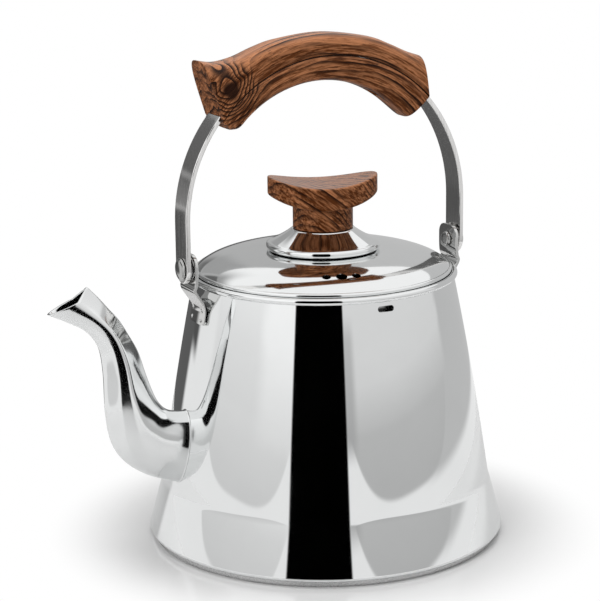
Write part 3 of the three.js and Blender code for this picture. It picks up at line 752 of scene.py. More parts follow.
@dataclass(frozen=True)
class Finishes:
    """Every finish of the kettle."""

    mirror: Finish = PolishedSteel("mirror_steel", "polished_steel")
    spun: Finish = PolishedSteel("spun_steel", "polished_steel", clean=0.07, smeared=0.11)
    drawn: Finish = PolishedSteel("drawn_steel", "polished_steel", clean=0.09, smeared=0.11)
    pressed: Finish = PolishedSteel("pressed_steel", "polished_steel", tint=(0.68, 0.68, 0.67),
                                    clean=0.05, smeared=0.12, wave=0.0001)
    rivet: Finish = SatinSteel("rivet_steel", "satin_steel", tint=(0.5, 0.5, 0.49), low=0.08,
                               high=0.18)
    turned_satin: Finish = SatinSteel("turned_satin_steel", "satin_steel", turned=(0, 0, 0),
                                      tint=(0.6, 0.6, 0.6))
    strap: Finish = SatinSteel("strap_steel", "satin_steel", tint=(0.9, 0.89, 0.88), low=0.05,
                               high=0.14)
    grip_wood: Finish = Rosewood("grip_rosewood", "rosewood")
    knob_wood: Finish = Rosewood("knob_rosewood", "rosewood", turned=(0, -36, 0), moved=(2, 5, 1),
                                 bands=3.2, drift=0.9, swirl=0.0, lacquer=0.6, seam_shade_and_dirt=0.0)


# The kettle's pieces


@dataclass(frozen=True)
class Wall:
    """The tapering wall that the body, the spout and the ears share."""

    foot_radius: float = 81.0
    foot_height: float = 32.0
    neck_radius: float = 64.0
    neck_height: float = 129.4
    swell: float = 0.7

    def radius(self, height: float) -> float:
        """The outer radius at a height, with its slight swell."""
        share = (height - self.foot_height) / (self.neck_height - self.foot_height)
        straight = lerp(self.foot_radius, self.neck_radius, share)
        return straight + 4 * self.swell * share * (1 - share)

    def control(self, inset: float) -> tuple[float, float]:
        """The wall's middle control point, for a quadratic curve."""
        radius = lerp(self.foot_radius, self.neck_radius, 0.5) + 2 * self.swell - inset
        return radius, (self.foot_height + self.neck_height) / 2


@dataclass
class BodyShell:
    """The pressed body: flared band, tapering wall and rolled rim, and the disc under it."""

    wall: Wall
    base_radius: float = 86.6
    base_thickness: float = 2.4
    base_chamfer: float = 0.7
    groove_radii: tuple[float, ...] = (24.0, 44.0, 64.0)
    groove_width: float = 1.6
    groove_depth: float = 0.5
    groove_flat: float = 0.8
    dish_ramp: float = 2.0
    floor_height: float = 2.7
    floor_land: float = 9.0
    sheet: float = 1.0
    foot_radius: float = 88.4
    foot_bead: float = 1.3
    band_top: float = 27.5
    crease_height: float = 29.2
    crease_blend: float = 1.4
    rim_bead: float = 1.7
    slot_length: float = 8.4
    slot_height: float = 2.8
    slot_drop: float = 3.2
    slot_steps: int = 24
    hole_radius: float = 2.6
    hole_pitch: float = 7.4
    hole_rows: int = 4
    hole_middle: float = 53.0
    hole_reach: float = 20.0

    def outline(self) -> Outline:
        """The shell's section, outside up and inside down."""
        wall = self.wall
        bead = self.foot_radius - self.foot_bead
        top = wall.foot_radius
        rise = self.band_top - self.floor_height
        lean = math.atan2(bead - top, rise)
        rim_height = wall.neck_height + self.rim_bead
        rim_end = 180 + math.degrees(math.acos(self.sheet / self.rim_bead))
        inner_foot = bead + self.foot_bead * math.cos(lean) - self.sheet / math.cos(lean)
        blend = self.crease_blend
        control = wall.control(0)
        slope = (top - control[0]) / (control[1] - wall.foot_height)
        crease = (top + slope * (wall.foot_height - self.crease_height), self.crease_height)
        flare = ((bead + self.foot_bead - crease[0])
                 / (crease[1] - self.floor_height - self.foot_bead))
        down = (crease[0] + blend * flare, crease[1] - blend)
        up = (crease[0] - blend * slope, crease[1] + blend)
        start = (self.base_radius - self.floor_land, self.floor_height)
        draw = Outline(*start)
        draw.line(bead, self.floor_height)
        draw.arc((bead, self.floor_height + self.foot_bead), self.foot_bead, -90,
                 math.degrees(lean))
        draw.line(*down, pitch=3.0)
        draw.curve(crease, up, steps=8)
        draw.line(top, wall.foot_height)
        draw.curve(wall.control(0), (wall.neck_radius, wall.neck_height), steps=34)
        draw.arc((wall.neck_radius, rim_height), self.rim_bead, -90, rim_end, steps=32)
        draw.curve(wall.control(self.sheet), (top - self.sheet, wall.foot_height), steps=24)
        draw.line(top - self.sheet, self.band_top)
        draw.line(inner_foot - self.sheet, self.floor_height + self.foot_bead + self.sheet)
        draw.line(inner_foot - 2 * self.sheet, self.floor_height + self.sheet)
        draw.line(start[0], self.floor_height + self.sheet)
        draw.line(*start, pitch=self.sheet)
        return draw

    def slot_cutter(self) -> bpy.types.Object:
        """A long cutter with round ends, for both slots under the rim."""
        half = (self.slot_length - self.slot_height) / 2
        radius = self.slot_height / 2
        height = self.wall.neck_height - self.slot_drop
        section = []
        for i in range(self.slot_steps):
            angle = math.tau * (i + 0.5) / self.slot_steps
            shift = half if math.cos(angle) > 0 else -half
            section.append((shift + radius * math.cos(angle), height + radius * math.sin(angle)))
        reach = self.wall.foot_radius
        rings = [[Vector((x, y, z)) for x, z in section] for y in (-reach, reach)]
        return skin("slot_cutter", rings)

    def base_outline(self) -> Outline:
        """The disc's section, with pressed rings underneath."""
        draw = Outline(0, self.groove_depth)
        first = self.groove_radii[0]
        draw.line(first - self.dish_ramp, self.groove_depth)
        draw.line(first, 0)
        for radius in self.groove_radii[1:]:
            draw.line(radius - self.groove_width, 0)
            draw.curve((radius - self.groove_width * self.groove_flat, self.groove_depth),
                       (radius, self.groove_depth), (radius + self.groove_width, 0), steps=6)
        draw.line(self.base_radius - self.base_chamfer, 0)
        draw.curve((self.base_radius, 0), (self.base_radius, self.base_chamfer), steps=4)
        draw.line(self.base_radius, self.base_thickness)
        draw.line(0, self.base_thickness, pitch=12)
        return draw

    def build(self, looks: Finishes) -> None:
        """Make the shell and the disc."""
        shell = turn("body_shell_skin", self.outline())
        carve(shell, self.slot_cutter())
        for row in range(self.hole_rows):
            for side in (-1, 1):
                height = self.hole_middle + (row - (self.hole_rows - 1) / 2) * self.hole_pitch
                centre = Vector((-self.wall.foot_radius, side * self.hole_pitch / 2, height))
                carve(shell, drill(centre, Vector((1, 0, 0)), self.hole_radius, self.hole_reach))
        finish(shell, Body.KETTLE, looks.mirror, ["body_shell"])
        disc = turn("base_disc_skin", self.base_outline())
        finish(disc, Body.KETTLE, looks.turned_satin, ["base_disc"])


@dataclass
class Spout:
    """The pressed spout: a round root, a gabled back and a slanting mouth with a beak."""

    wall: Wall
    reach: float = 143.0
    tip_height: float = 126.3
    root_height: float = 53.0
    width: float = 19.0
    sheet: float = 1.1
    crease: float = 0.47
    roof_inset: float = 1.5
    gap: float = 0.06
    weld: float = 0.5
    weld_steps: int = 4
    root_share: float = 0.4
    lip_trim: float = 0.35
    lip: tuple[tuple[float, float], ...] = ((0.1, 0.1), (0.3, 0.0), (0.8, 0.0), (1.0, 0.1))
    relax_passes: int = 4
    side_steps: int = 22
    rings: int = 110
    sections: int = 240
    rows: tuple[tuple[float, ...], ...] = (
        (-0.15, 0.24, -0.15, -0.30, 0.90, 0.0),
        (0.01, 0.245, 0.07, -0.235, 0.92, 0.0),
        (0.11, 0.27, 0.29, -0.155, 0.96, 0.1),
        (0.175, 0.33, 0.455, -0.045, 1.00, 0.25),
        (0.215, 0.41, 0.55, 0.095, 1.00, 0.5),
        (0.26, 0.53, 0.587, 0.30, 0.96, 0.75),
        (0.315, 0.685, 0.592, 0.545, 0.88, 0.9),
        (0.386, 0.806, 0.615, 0.715, 0.80, 1.0),
        (0.458, 0.914, 0.667, 0.81, 0.71, 1.0),
        (0.532, 0.994, 0.742, 0.877, 0.63, 1.0),
        (0.606, 1.075, 0.84, 0.927, 0.56, 1.0),
        (0.691, 1.157, 0.94, 0.972, 0.50, 1.0),
        (0.79, 1.247, 1.05, 1.018, 0.45, 1.0),
    )
    mouth: tuple[tuple[float, float], ...] = ((0.4, 1.45), (0.691, 1.157), (0.79, 1.07), (1.0, 1.0),
                                              (1.3, 0.92))

    def point(self, along: float, up: float) -> Vector:
        """A point on the spout's plane from its shares along and up."""
        root = self.wall.radius(self.root_height)
        return Vector((-lerp(root, self.reach, along), 0,
                       lerp(self.root_height, self.tip_height, up)))

    def section(self, place: float, inset: float) -> Ring:
        """One ring across the spout, ridge first.

        Args:
            place: How far along the spout it is, from 0 to 1.
            inset: How far it is drawn in.

        Returns:
            Its points.
        """
        values = table_values(self.rows, place)
        ridge_along, ridge_up, belly_along, belly_up, half_share, roof = values
        ridge, belly = self.point(ridge_along, ridge_up), self.point(belly_along, belly_up)
        depth = (belly - ridge).length
        half = half_share * self.width / 2 - inset
        top = inset * lerp(1, self.roof_inset, roof) / depth
        bottom = 1 - inset / depth
        side: list[tuple[float, float]] = []
        for i in range(self.side_steps + 1):
            share = i / self.side_steps
            quarter = share * math.pi / 2
            down = lerp(1 - math.cos(quarter), share, roof)
            side.append((lerp(top, self.crease, down), half * lerp(math.sin(quarter), share, roof)))
        for i in range(1, self.side_steps + 1):
            quarter = i / self.side_steps * math.pi / 2
            side.append((lerp(self.crease, bottom, math.sin(quarter)), half * math.cos(quarter)))
        mirrored = [(down, -out) for down, out in reversed(side[1:-1])]
        ring = [ridge.lerp(belly, down) + Vector((0, out, 0)) for down, out in side + mirrored]
        return self.relaxed(ring)

    def relaxed(self, ring: Ring) -> Ring:
        """A ring with its creases slightly rounded."""
        for _ in range(self.relax_passes):
            following = ring[1:] + ring[:1]
            ring = [(ring[i - 1] + 2 * ring[i] + following[i]) / 4 for i in range(len(ring))]
        return ring

    def skin_lines(self, inset: float, low: float = 0.0, high: float = 1.0) -> list[Ring]:
        """Lengthwise lines of the spout's skin at an inset, between two places."""
        count = max(8, round(self.sections * (high - low)))
        sections = [self.section(lerp(low, high, i / count), inset) for i in range(count + 1)]
        return [list(line) for line in zip(*sections)]

    def wall_miss(self, point: Vector, grow: float) -> float:
        """How far a point is outside the body's wall, grown by a clearance."""
        return math.hypot(point.x, point.y) - self.wall.radius(point.z) - grow

    def mouth_miss(self, point: Vector, _grow: float) -> float:
        """How far a point is above the mouth's cut."""
        corners = [self.point(along, up) for along, up in self.mouth]
        for near, far in zip(corners, corners[1:]):
            if point.x > far.x or far is corners[-1]:
                share = (point.x - near.x) / (far.x - near.x)
                return point.z - lerp(near.z, far.z, share)
        return point.z

    def crossing(self, line: Ring, miss: Callable[[Vector, float], float], grow: float,
                 backwards: bool) -> float:
        """Where a line first passes from below zero to above it.

        Args:
            line: The points of the line.
            miss: The signed distance that changes sign there.
            grow: The clearance that it is given.
            backwards: Whether the search starts at the line's end, for the last passage.

        Returns:
            The place as an index along the line, with a fraction.
        """
        values = [miss(point, grow) for point in line]
        order = range(len(line) - 1)
        for i in reversed(order) if backwards else order:
            if values[i] <= 0 < values[i + 1]:
                return i + values[i] / (values[i] - values[i + 1])
        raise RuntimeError("a line of the spout doesn't cross its cut")

    def root_ring(self, inset: float, grow: float) -> Ring:
        """The ring where the skin at an inset meets the wall grown by a clearance."""
        return [smooth_between(line, self.crossing(line, self.wall_miss, grow, False))
                for line in self.skin_lines(inset, 0.0, self.root_share)]

    def wall_rings(self, inset: float, grow: float, trim: float) -> list[Ring]:
        """Rings of one skin from the wall to the mouth.

        Args:
            inset: How far the skin is drawn in.
            grow: Its clearance from the wall.
            trim: How far it stops short of the mouth.

        Returns:
            The rings.
        """
        columns = []
        for line in self.skin_lines(inset):
            start = self.crossing(line, self.wall_miss, grow, False)
            end = self.crossing(line, self.mouth_miss, 0.0, True)
            pitch = (line[int(end)] - line[int(end) - 1]).length
            end -= trim / pitch
            columns.append([smooth_between(line, lerp(start, end, i / self.rings))
                            for i in range(self.rings + 1)])
        return [list(ring) for ring in zip(*columns)]

    def build(self, looks: Finishes) -> None:
        """Make the spout with its wall, its rounded lip and the fillet of its weld."""
        fillet = []
        for i in range(self.weld_steps):
            turned = math.radians(90 * i / self.weld_steps)
            fillet.append(self.root_ring(-self.weld * (1 - math.sin(turned)),
                                         self.gap + self.weld * (1 - math.cos(turned))))
        outer = self.wall_rings(0.0, self.gap + self.weld, self.lip_trim)
        lip = [self.wall_rings(inset, self.gap + self.weld, trim)[-1] for inset, trim in self.lip]
        inner = self.wall_rings(self.sheet, self.gap, self.lip_trim)
        rings = fillet + outer + lip + inner[::-1]
        piece = skin("spout_skin", rings + [rings[0]])
        finish(piece, Body.KETTLE, looks.drawn, ["spout"], crease=50)


@dataclass
class Ears:
    """The bent brackets welded to the wall, with the rivets and washers of the bail."""

    wall: Wall
    width: float = 17.0
    sheet: float = 1.6
    corner: float = 5.0
    corner_steps: int = 8
    foot_corner: float = 2.0
    edge: float = 0.35
    rise: float = 7.2
    tab_drop: float = 7.5
    tab_height: float = 8.5
    curl: float = 1.5
    tab_gap: float = 0.1
    ledge_reach: float = 1.6
    ledge_height: float = 2.4
    bend: float = 0.42
    pivot_height: float = 140.4
    ear_inner: float = 70.1
    bore_length: float = 20.0
    pitch: float = 0.6
    washer_inner: float = 72.0
    strap_outer: float = 75.3
    seat_gap: float = 0.3
    ease: float = 0.2
    rivet_radius: float = 2.4
    head_radius: float = 5.4
    head_height: float = 1.6
    head_edge: float = 0.3
    dome: tuple[tuple[float, float], ...] = ((0.92, 0.1), (0.55, 0.0), (0.0, 0.0))
    tail_radius: float = 3.7
    tail_height: float = 1.4
    tail_flat: float = 0.5
    washer_radius: float = 5.6
    washer_thickness: float = 0.8
    dot_radius: float = 2.2
    dot_depth: float = 0.28
    dot_across: float = 5.2
    dot_heights: tuple[float, float] = (116.0, 120.6)

    def corners(self) -> list[Vector]:
        """The corners of the sheet's middle line, from the tab's foot to the ear's top."""
        top = self.wall.neck_height - self.tab_drop
        foot = top - self.tab_height
        away = self.tab_gap + self.sheet / 2
        middle = self.ear_inner + self.sheet / 2
        ledge = self.wall.neck_height + self.ledge_height / 2
        return [Vector((self.wall.radius(foot) + away, foot)),
                Vector((self.wall.radius(top) + away, top)),
                Vector((middle + self.ledge_reach, ledge)),
                Vector((middle, ledge + self.ledge_height)),
                Vector((middle, self.pivot_height + self.rise))]

    def sheet_line(self) -> list[Vector]:
        """The middle line with its bends rounded and evenly stepped."""
        corners = self.corners()
        line = Outline(*corners[0])
        for before, here, after in zip(corners, corners[1:], corners[2:]):
            into = here.lerp(before, self.bend)
            out = here.lerp(after, self.bend)
            line.line(*into, pitch=1.2)
            line.curve(tuple(here), tuple(out), steps=6)
        line.line(*corners[-1], pitch=1.0)
        return line.points

    def ear(self) -> bpy.types.Object:
        """The rear ear, with its tab curved to the wall and its top corners round."""
        line = self.sheet_line()
        lengths = [0.0]
        for near, far in zip(line, line[1:]):
            lengths.append(lengths[-1] + (far - near).length)
        total = lengths[-1]
        tab_end = self.tab_height * self.curl
        rings = []
        for place in self.end_places(total):
            index = max(i for i, length in enumerate(lengths[:-1]) if length <= place + TINY)
            share = (place - lengths[index]) / (lengths[index + 1] - lengths[index])
            centre = line[index].lerp(line[index + 1], share)
            run = (line[min(index + 2, len(line) - 1)] - line[max(index - 1, 0)]).normalized()
            out = Vector((run.y, -run.x))
            half = (self.width / 2 - self.round_off(self.corner, total - place)
                    - self.round_off(self.foot_corner, place))
            bow = max(0.0, 1 - place / tab_end)
            ring = []
            for across, up in rounded_bar(half, self.sheet / 2, self.edge, flat_steps=10):
                sag = across * across / (2 * self.wall.radius(centre.y)) * min(1.0, 2 * bow)
                ring.append(Vector((centre.x + out.x * up - sag, across, centre.y + out.y * up)))
            rings.append(ring)
        piece = skin("rear_ear_skin", rings)
        reach = self.strap_outer + self.corner
        carve(piece, drill(Vector((reach, 0, self.pivot_height)), Vector((1, 0, 0)),
                           self.rivet_radius + self.tab_gap, self.bore_length))
        for height in self.dot_heights:
            for across in (-self.dot_across, self.dot_across):
                face = self.wall.radius(height) + self.tab_gap + self.sheet
                out = math.sqrt(face ** 2 - across ** 2) + self.dot_radius - self.dot_depth
                carve(piece, primitive(bpy.ops.mesh.primitive_uv_sphere_add, "dot", segments=24,
                                       ring_count=16, radius=self.dot_radius * MM,
                                       location=Vector((out, across, height)) * MM))
        return piece

    def end_places(self, total: float) -> list[float]:
        """Steps along the sheet, close together in its rounded ends."""
        places = [self.corner * (1 - math.cos(math.pi / 2 * i / self.corner_steps))
                  for i in range(self.corner_steps + 1)]
        count = round((total - 2 * self.corner) / self.pitch)
        middle = [lerp(self.corner, total - self.corner, i / count) for i in range(1, count)]
        return places + middle + [total - place for place in reversed(places)]

    @staticmethod
    def round_off(radius: float, left: float) -> float:
        """How far a rounded corner draws the edge in, at a distance from the end."""
        if left >= radius:
            return 0.0
        return radius - math.sqrt(max(0.0, radius ** 2 - (radius - left) ** 2))

    def on_pivot(self) -> Matrix:
        """The matrix that lays a piece turned about Z along the pivot line."""
        return Matrix.Translation((0, 0, self.pivot_height)) @ Matrix.Rotation(math.pi / 2, 4, "Y")

    def rivet_outline(self) -> Outline:
        """The rivet's section: tail, shank and domed head."""
        tail = self.ear_inner - self.seat_gap
        head = self.strap_outer + self.seat_gap
        draw = Outline(0, tail - self.tail_height)
        draw.line(self.tail_radius * self.tail_flat, tail - self.tail_height)
        draw.curve((self.tail_radius, tail - self.tail_height), (self.tail_radius, tail), steps=8)
        draw.line(self.rivet_radius, tail)
        draw.line(self.rivet_radius, head)
        draw.line(self.head_radius - self.ease, head)
        draw.curve((self.head_radius, head), (self.head_radius, head + self.head_edge), steps=4)
        top = head + self.head_height
        draw.curve(*((self.head_radius * out, top - drop) for out, drop in self.dome), steps=12)
        return draw

    def washer_outline(self) -> Outline:
        """The washer's section."""
        bore = self.rivet_radius + self.tab_gap
        inner, outer = self.washer_inner, self.washer_inner + self.washer_thickness
        draw = Outline(bore, inner)
        draw.line(self.washer_radius - self.ease, inner)
        draw.curve((self.washer_radius, inner), (self.washer_radius, inner + self.ease), steps=3)
        draw.line(self.washer_radius, outer - self.ease)
        draw.curve((self.washer_radius, outer), (self.washer_radius - self.ease, outer), steps=3)
        draw.line(bore, outer)
        draw.line(bore, inner)
        return draw

    def build(self, looks: Finishes) -> None:
        """Make each piece at the rear, and a copy turned half round at the front."""
        half_turn = Matrix.Rotation(math.pi, 4, "Z")
        ear = self.ear()
        rivet = turn("rear_rivet_skin", self.rivet_outline(), SMALL_STEPS, self.on_pivot())
        washer = turn("rear_washer_skin", self.washer_outline(), SMALL_STEPS, self.on_pivot())
        for name, piece, look in (("ear", ear, looks.pressed), ("rivet", rivet, looks.rivet),
                                  ("washer", washer, looks.turned_satin)):
            twin = copied(piece, f"front_{name}_skin", half_turn)
            finish(piece, Body.KETTLE, look, [f"rear_{name}"])
            finish(twin, Body.KETTLE, look, [f"front_{name}"])


@dataclass
class Bail:
    """The arched strap with the two halves of its grip and their screws."""

    pivot_height: float = 140.4
    half_span: float = 74.2
    arch_height: float = 76.0
    top: float = 238.2
    strap_width: float = 14.0
    strap_thickness: float = 2.2
    strap_edge: float = 0.5
    strap_tip: float = 0.05
    strap_pitch: float = 2.0
    strap_steps: int = 128
    tip_steps: int = 10
    rivet_radius: float = 2.4
    rivet_gap: float = 0.1
    end_angle: float = 49.5
    front_reach: float = 65.3
    crown: float = 10.3
    belly: float = 12.5
    grip_width: float = 21.0
    joint: float = 0.1
    joint_ease: float = 0.3
    hole_gap: float = 0.3
    channel_overrun: float = 12.0
    channel_steps: int = 120
    round_share: float = 0.55
    end_round: float = 1.4
    end_steps: int = 7
    foot_steps: int = 8
    grip_sides: int = 36
    grip_rings: int = 84
    screw_angle: float = 26.0
    screw_radius: float = 2.0
    screw_head: float = 3.8
    screw_head_height: float = 2.4
    screw_dome: float = 0.6
    screw_bite: float = 5.5
    screw_sink: float = 4.0
    counterbore: float = 20.0
    recess: Triple = (3.6, 0.8, 2.4)
    upper_rows: tuple[tuple[float, ...], ...] = (
        (1.0, 1.0, 0.08, 1.08),
        (0.87, 0.858, -0.06, 1.05),
        (0.71, 0.697, 0.11, 1.01),
        (0.53, 0.528, 0.50, 0.98),
        (0.36, 0.352, 0.79, 0.96),
        (0.0, 0.0, 1.0, 0.95),
        (-0.36, -0.352, 0.71, 0.97),
        (-0.54, -0.52, 0.33, 0.99),
        (-0.72, -0.67, -0.10, 1.02),
        (-0.94, -0.79, -0.36, 1.04),
    )
    lower_rows: tuple[tuple[float, ...], ...] = (
        (1.015, 0.62, 0.94),
        (0.95, 0.88, 0.99),
        (0.82, 0.90, 1.0),
        (0.55, 0.92, 0.98),
        (0.0, 1.0, 0.94),
        (-0.50, 1.12, 0.98),
        (-0.76, 1.18, 1.0),
        (-0.88, 1.17, 1.0),
        (-0.94, 1.13, 0.97),
    )

    @property
    def centre_height(self) -> float:
        """The height of the arch's centre."""
        return self.top - self.arch_height

    def arch_point(self, angle: float, offset: float) -> Vector:
        """A point on the strap's line at an angle from its top, moved out by an offset."""
        return Vector((-(self.half_span + offset) * math.sin(angle), 0,
                       self.centre_height + (self.arch_height + offset) * math.cos(angle)))

    def strap_stations(self) -> list[tuple[Vector, Vector, float]]:
        """Places along the strap: its middle, its outward way and its half width."""
        radius = self.strap_width / 2
        stations = []
        ends = [radius * (1 - math.cos(math.pi / 2 * i / self.tip_steps))
                for i in range(self.tip_steps + 1)]
        foot = self.pivot_height - radius
        heights = [foot + end for end in ends]
        count = round((self.centre_height - self.pivot_height) / self.strap_pitch)
        heights += [lerp(self.pivot_height, self.centre_height, i / count) for i in range(1, count)]
        for height in heights:
            inside = radius - max(0.0, self.pivot_height - height)
            half = radius
            if inside < radius:
                half = math.sqrt(max(0.0, radius ** 2 - (radius - inside) ** 2))
            stations.append((Vector((-self.half_span, 0, height)), Vector((-1, 0, 0)),
                             max(half, self.strap_tip)))
        for i in range(self.strap_steps + 1):
            angle = math.radians(lerp(90, -90, i / self.strap_steps))
            out = Vector((-math.sin(angle) / self.half_span, 0, math.cos(angle) / self.arch_height))
            stations.append((self.arch_point(angle, 0), out.normalized(), radius))
        for place, out, half in reversed(stations[:len(heights)]):
            stations.append((Vector((-place.x, 0, place.z)), -out, half))
        return stations

    def strap(self) -> bpy.types.Object:
        """The strap with soft edges, bored for its rivets."""
        rings = []
        for place, out, half in self.strap_stations():
            section = rounded_bar(half, self.strap_thickness / 2, self.strap_edge)
            rings.append([place + out * up + Vector((0, across, 0)) for across, up in section])
        piece = skin("bail_strap_skin", rings)
        for side in Side:
            centre = Vector((side.value * self.half_span, 0, self.pivot_height))
            bore = self.rivet_radius + self.rivet_gap
            carve(piece, drill(centre, Vector((1, 0, 0)), bore, self.strap_width))
        return piece

    def half_section(self, foot: Vector, crown: Vector, half: float) -> Ring:
        """A ring of the grip: a flat foot on the parting line and a soft round over it."""
        ring = []
        ease = self.joint_ease
        for i in range(self.grip_sides + 1):
            angle = i / self.grip_sides * math.pi
            cosine, sine = math.cos(angle), max(0.0, math.sin(angle))
            across = math.copysign(abs(cosine) ** self.round_share, cosine)
            point = foot.lerp(crown, sine ** self.round_share)
            point.y = half * across
            ring.append(point)
        rise = (crown - foot).normalized() * ease
        for end, step in ((0, 1), (-1, -1)):
            edge = ring[end].copy()
            ring[end].y -= step * ease
            ring.insert(1 if step > 0 else len(ring) - 1, edge + rise)
        return ring + [foot + Vector((0, (half - ease) * lerp(-1, 1, i / self.foot_steps), 0))
                       for i in range(1, self.foot_steps)]

    def grip_places(self) -> list[tuple[float, float]]:
        """Places along the grip from 0 to 1, each with how far the rounded end draws in."""
        length = 2 * math.radians(self.end_angle) * self.half_span
        end = self.end_round / length
        places = []
        for i in range(self.end_steps):
            turned = math.pi / 2 * i / self.end_steps
            places.append((end * (1 - math.cos(turned)), self.end_round * (1 - math.sin(turned))))
        middle = [(lerp(end, 1 - end, i / self.grip_rings), 0.0)
                  for i in range(self.grip_rings + 1)]
        return places + middle + [(1 - place, inset) for place, inset in reversed(places)]

    def channel(self) -> bpy.types.Object:
        """The cutter for the groove that the strap lies in."""
        half = self.strap_thickness / 2 + self.hole_gap
        wide = self.strap_width / 2 + self.hole_gap
        rings = []
        for i in range(self.channel_steps + 1):
            angle = math.radians(lerp(1, -1, i / self.channel_steps)
                                 * (self.end_angle + self.channel_overrun))
            low, high = self.arch_point(angle, -half), self.arch_point(angle, half)
            side = Vector((0, wide, 0))
            rings.append([high + side, high - side, low - side, low + side])
        return skin("channel", rings)

    def upper_half(self) -> bpy.types.Object:
        """The upper half of the grip, with its dipped ends."""
        rings = []
        end = math.radians(self.end_angle)
        for place, inset in self.grip_places():
            angle, along, up, wide = table_values(self.upper_rows, place)
            foot = self.arch_point(angle * end, self.joint / 2)
            crown = Vector((-along * self.front_reach, 0, self.top + up * self.crown))
            crown -= (crown - foot).normalized() * inset
            rings.append(self.half_section(foot, crown, wide * self.grip_width / 2 - inset))
        piece = skin("grip_upper_skin", rings)
        carve(piece, self.channel())
        return piece

    def lower_half(self) -> bpy.types.Object:
        """The lower half of the grip, with the counterbores of its screws."""
        rings = []
        end = math.radians(self.end_angle)
        for place, inset in self.grip_places():
            angle, deep, wide = table_values(self.lower_rows, place)
            foot = self.arch_point(angle * end, -self.joint / 2)
            crown = self.arch_point(angle * end, -deep * self.belly + inset)
            rings.append(self.half_section(foot, crown, wide * self.grip_width / 2 - inset))
        piece = skin("grip_lower_skin", rings)
        carve(piece, self.channel())
        for side in Side:
            way = self.screw_way(side)
            bore = self.screw_head + self.hole_gap
            start = self.arch_point(self.screw_turn(side), self.screw_sink - self.belly)
            middle = start - way * self.counterbore / 2
            carve(piece, drill(middle, way, bore, self.counterbore))
        return piece

    def screw_turn(self, side: Side) -> float:
        """A screw's angle along the arch."""
        return -side.value * math.radians(self.screw_angle)

    def screw_way(self, side: Side) -> Vector:
        """The outward way of the arch at a screw."""
        angle = self.screw_turn(side)
        return Vector((-math.sin(angle) / self.half_span, 0,
                       math.cos(angle) / self.arch_height)).normalized()

    def screw(self, side: Side) -> bpy.types.Object:
        """A domed screw with a cross recess, standing along the arch's outward way."""
        top = self.screw_sink - self.hole_gap
        length = self.belly - top + self.screw_bite
        low = top - self.screw_head_height
        draw = screw_outline(self.screw_head, self.screw_radius, low, top, top + length,
                             self.screw_dome)
        piece = turn(f"grip_screw_{side.name.lower()}_skin", draw, SCREW_STEPS)
        for turned in (0, 90):
            carve(piece, primitive(bpy.ops.mesh.primitive_cube_add, "recess", size=MM,
                                   location=(0, 0, low * MM), rotation=(0, 0, math.radians(turned)),
                                   scale=self.recess))
        way = self.screw_way(side)
        foot = self.arch_point(self.screw_turn(side), -self.belly) * MM
        lean = Matrix.Rotation(math.atan2(way.x, way.z), 4, "Y")
        piece.data.transform(Matrix.Translation(foot) @ lean)
        return piece

    def grain(self, point: Vector) -> Vector:
        """A point of the grip as along the arch, across it and out from it."""
        across = point.x / self.half_span
        up = (point.z - self.centre_height) / self.arch_height
        radius = (self.half_span + self.arch_height) / 2
        return Vector((radius * math.atan2(across, up), point.y,
                       radius * (math.hypot(across, up) - 1)))

    def build(self, looks: Finishes) -> None:
        """Make the strap, the grip and its screws."""
        finish(self.strap(), Body.BAIL, looks.strap, ["bail_strap"])
        for piece, node in ((self.upper_half(), "grip_upper"), (self.lower_half(), "grip_lower")):
            mark_grain(piece, self.grain)
            finish(piece, Body.BAIL, looks.grip_wood, [node], crease=40)
        for side in Side:
            node = f"grip_screw_{side.name.lower()}"
            finish(self.screw(side), Body.BAIL, looks.turned_satin, [node])


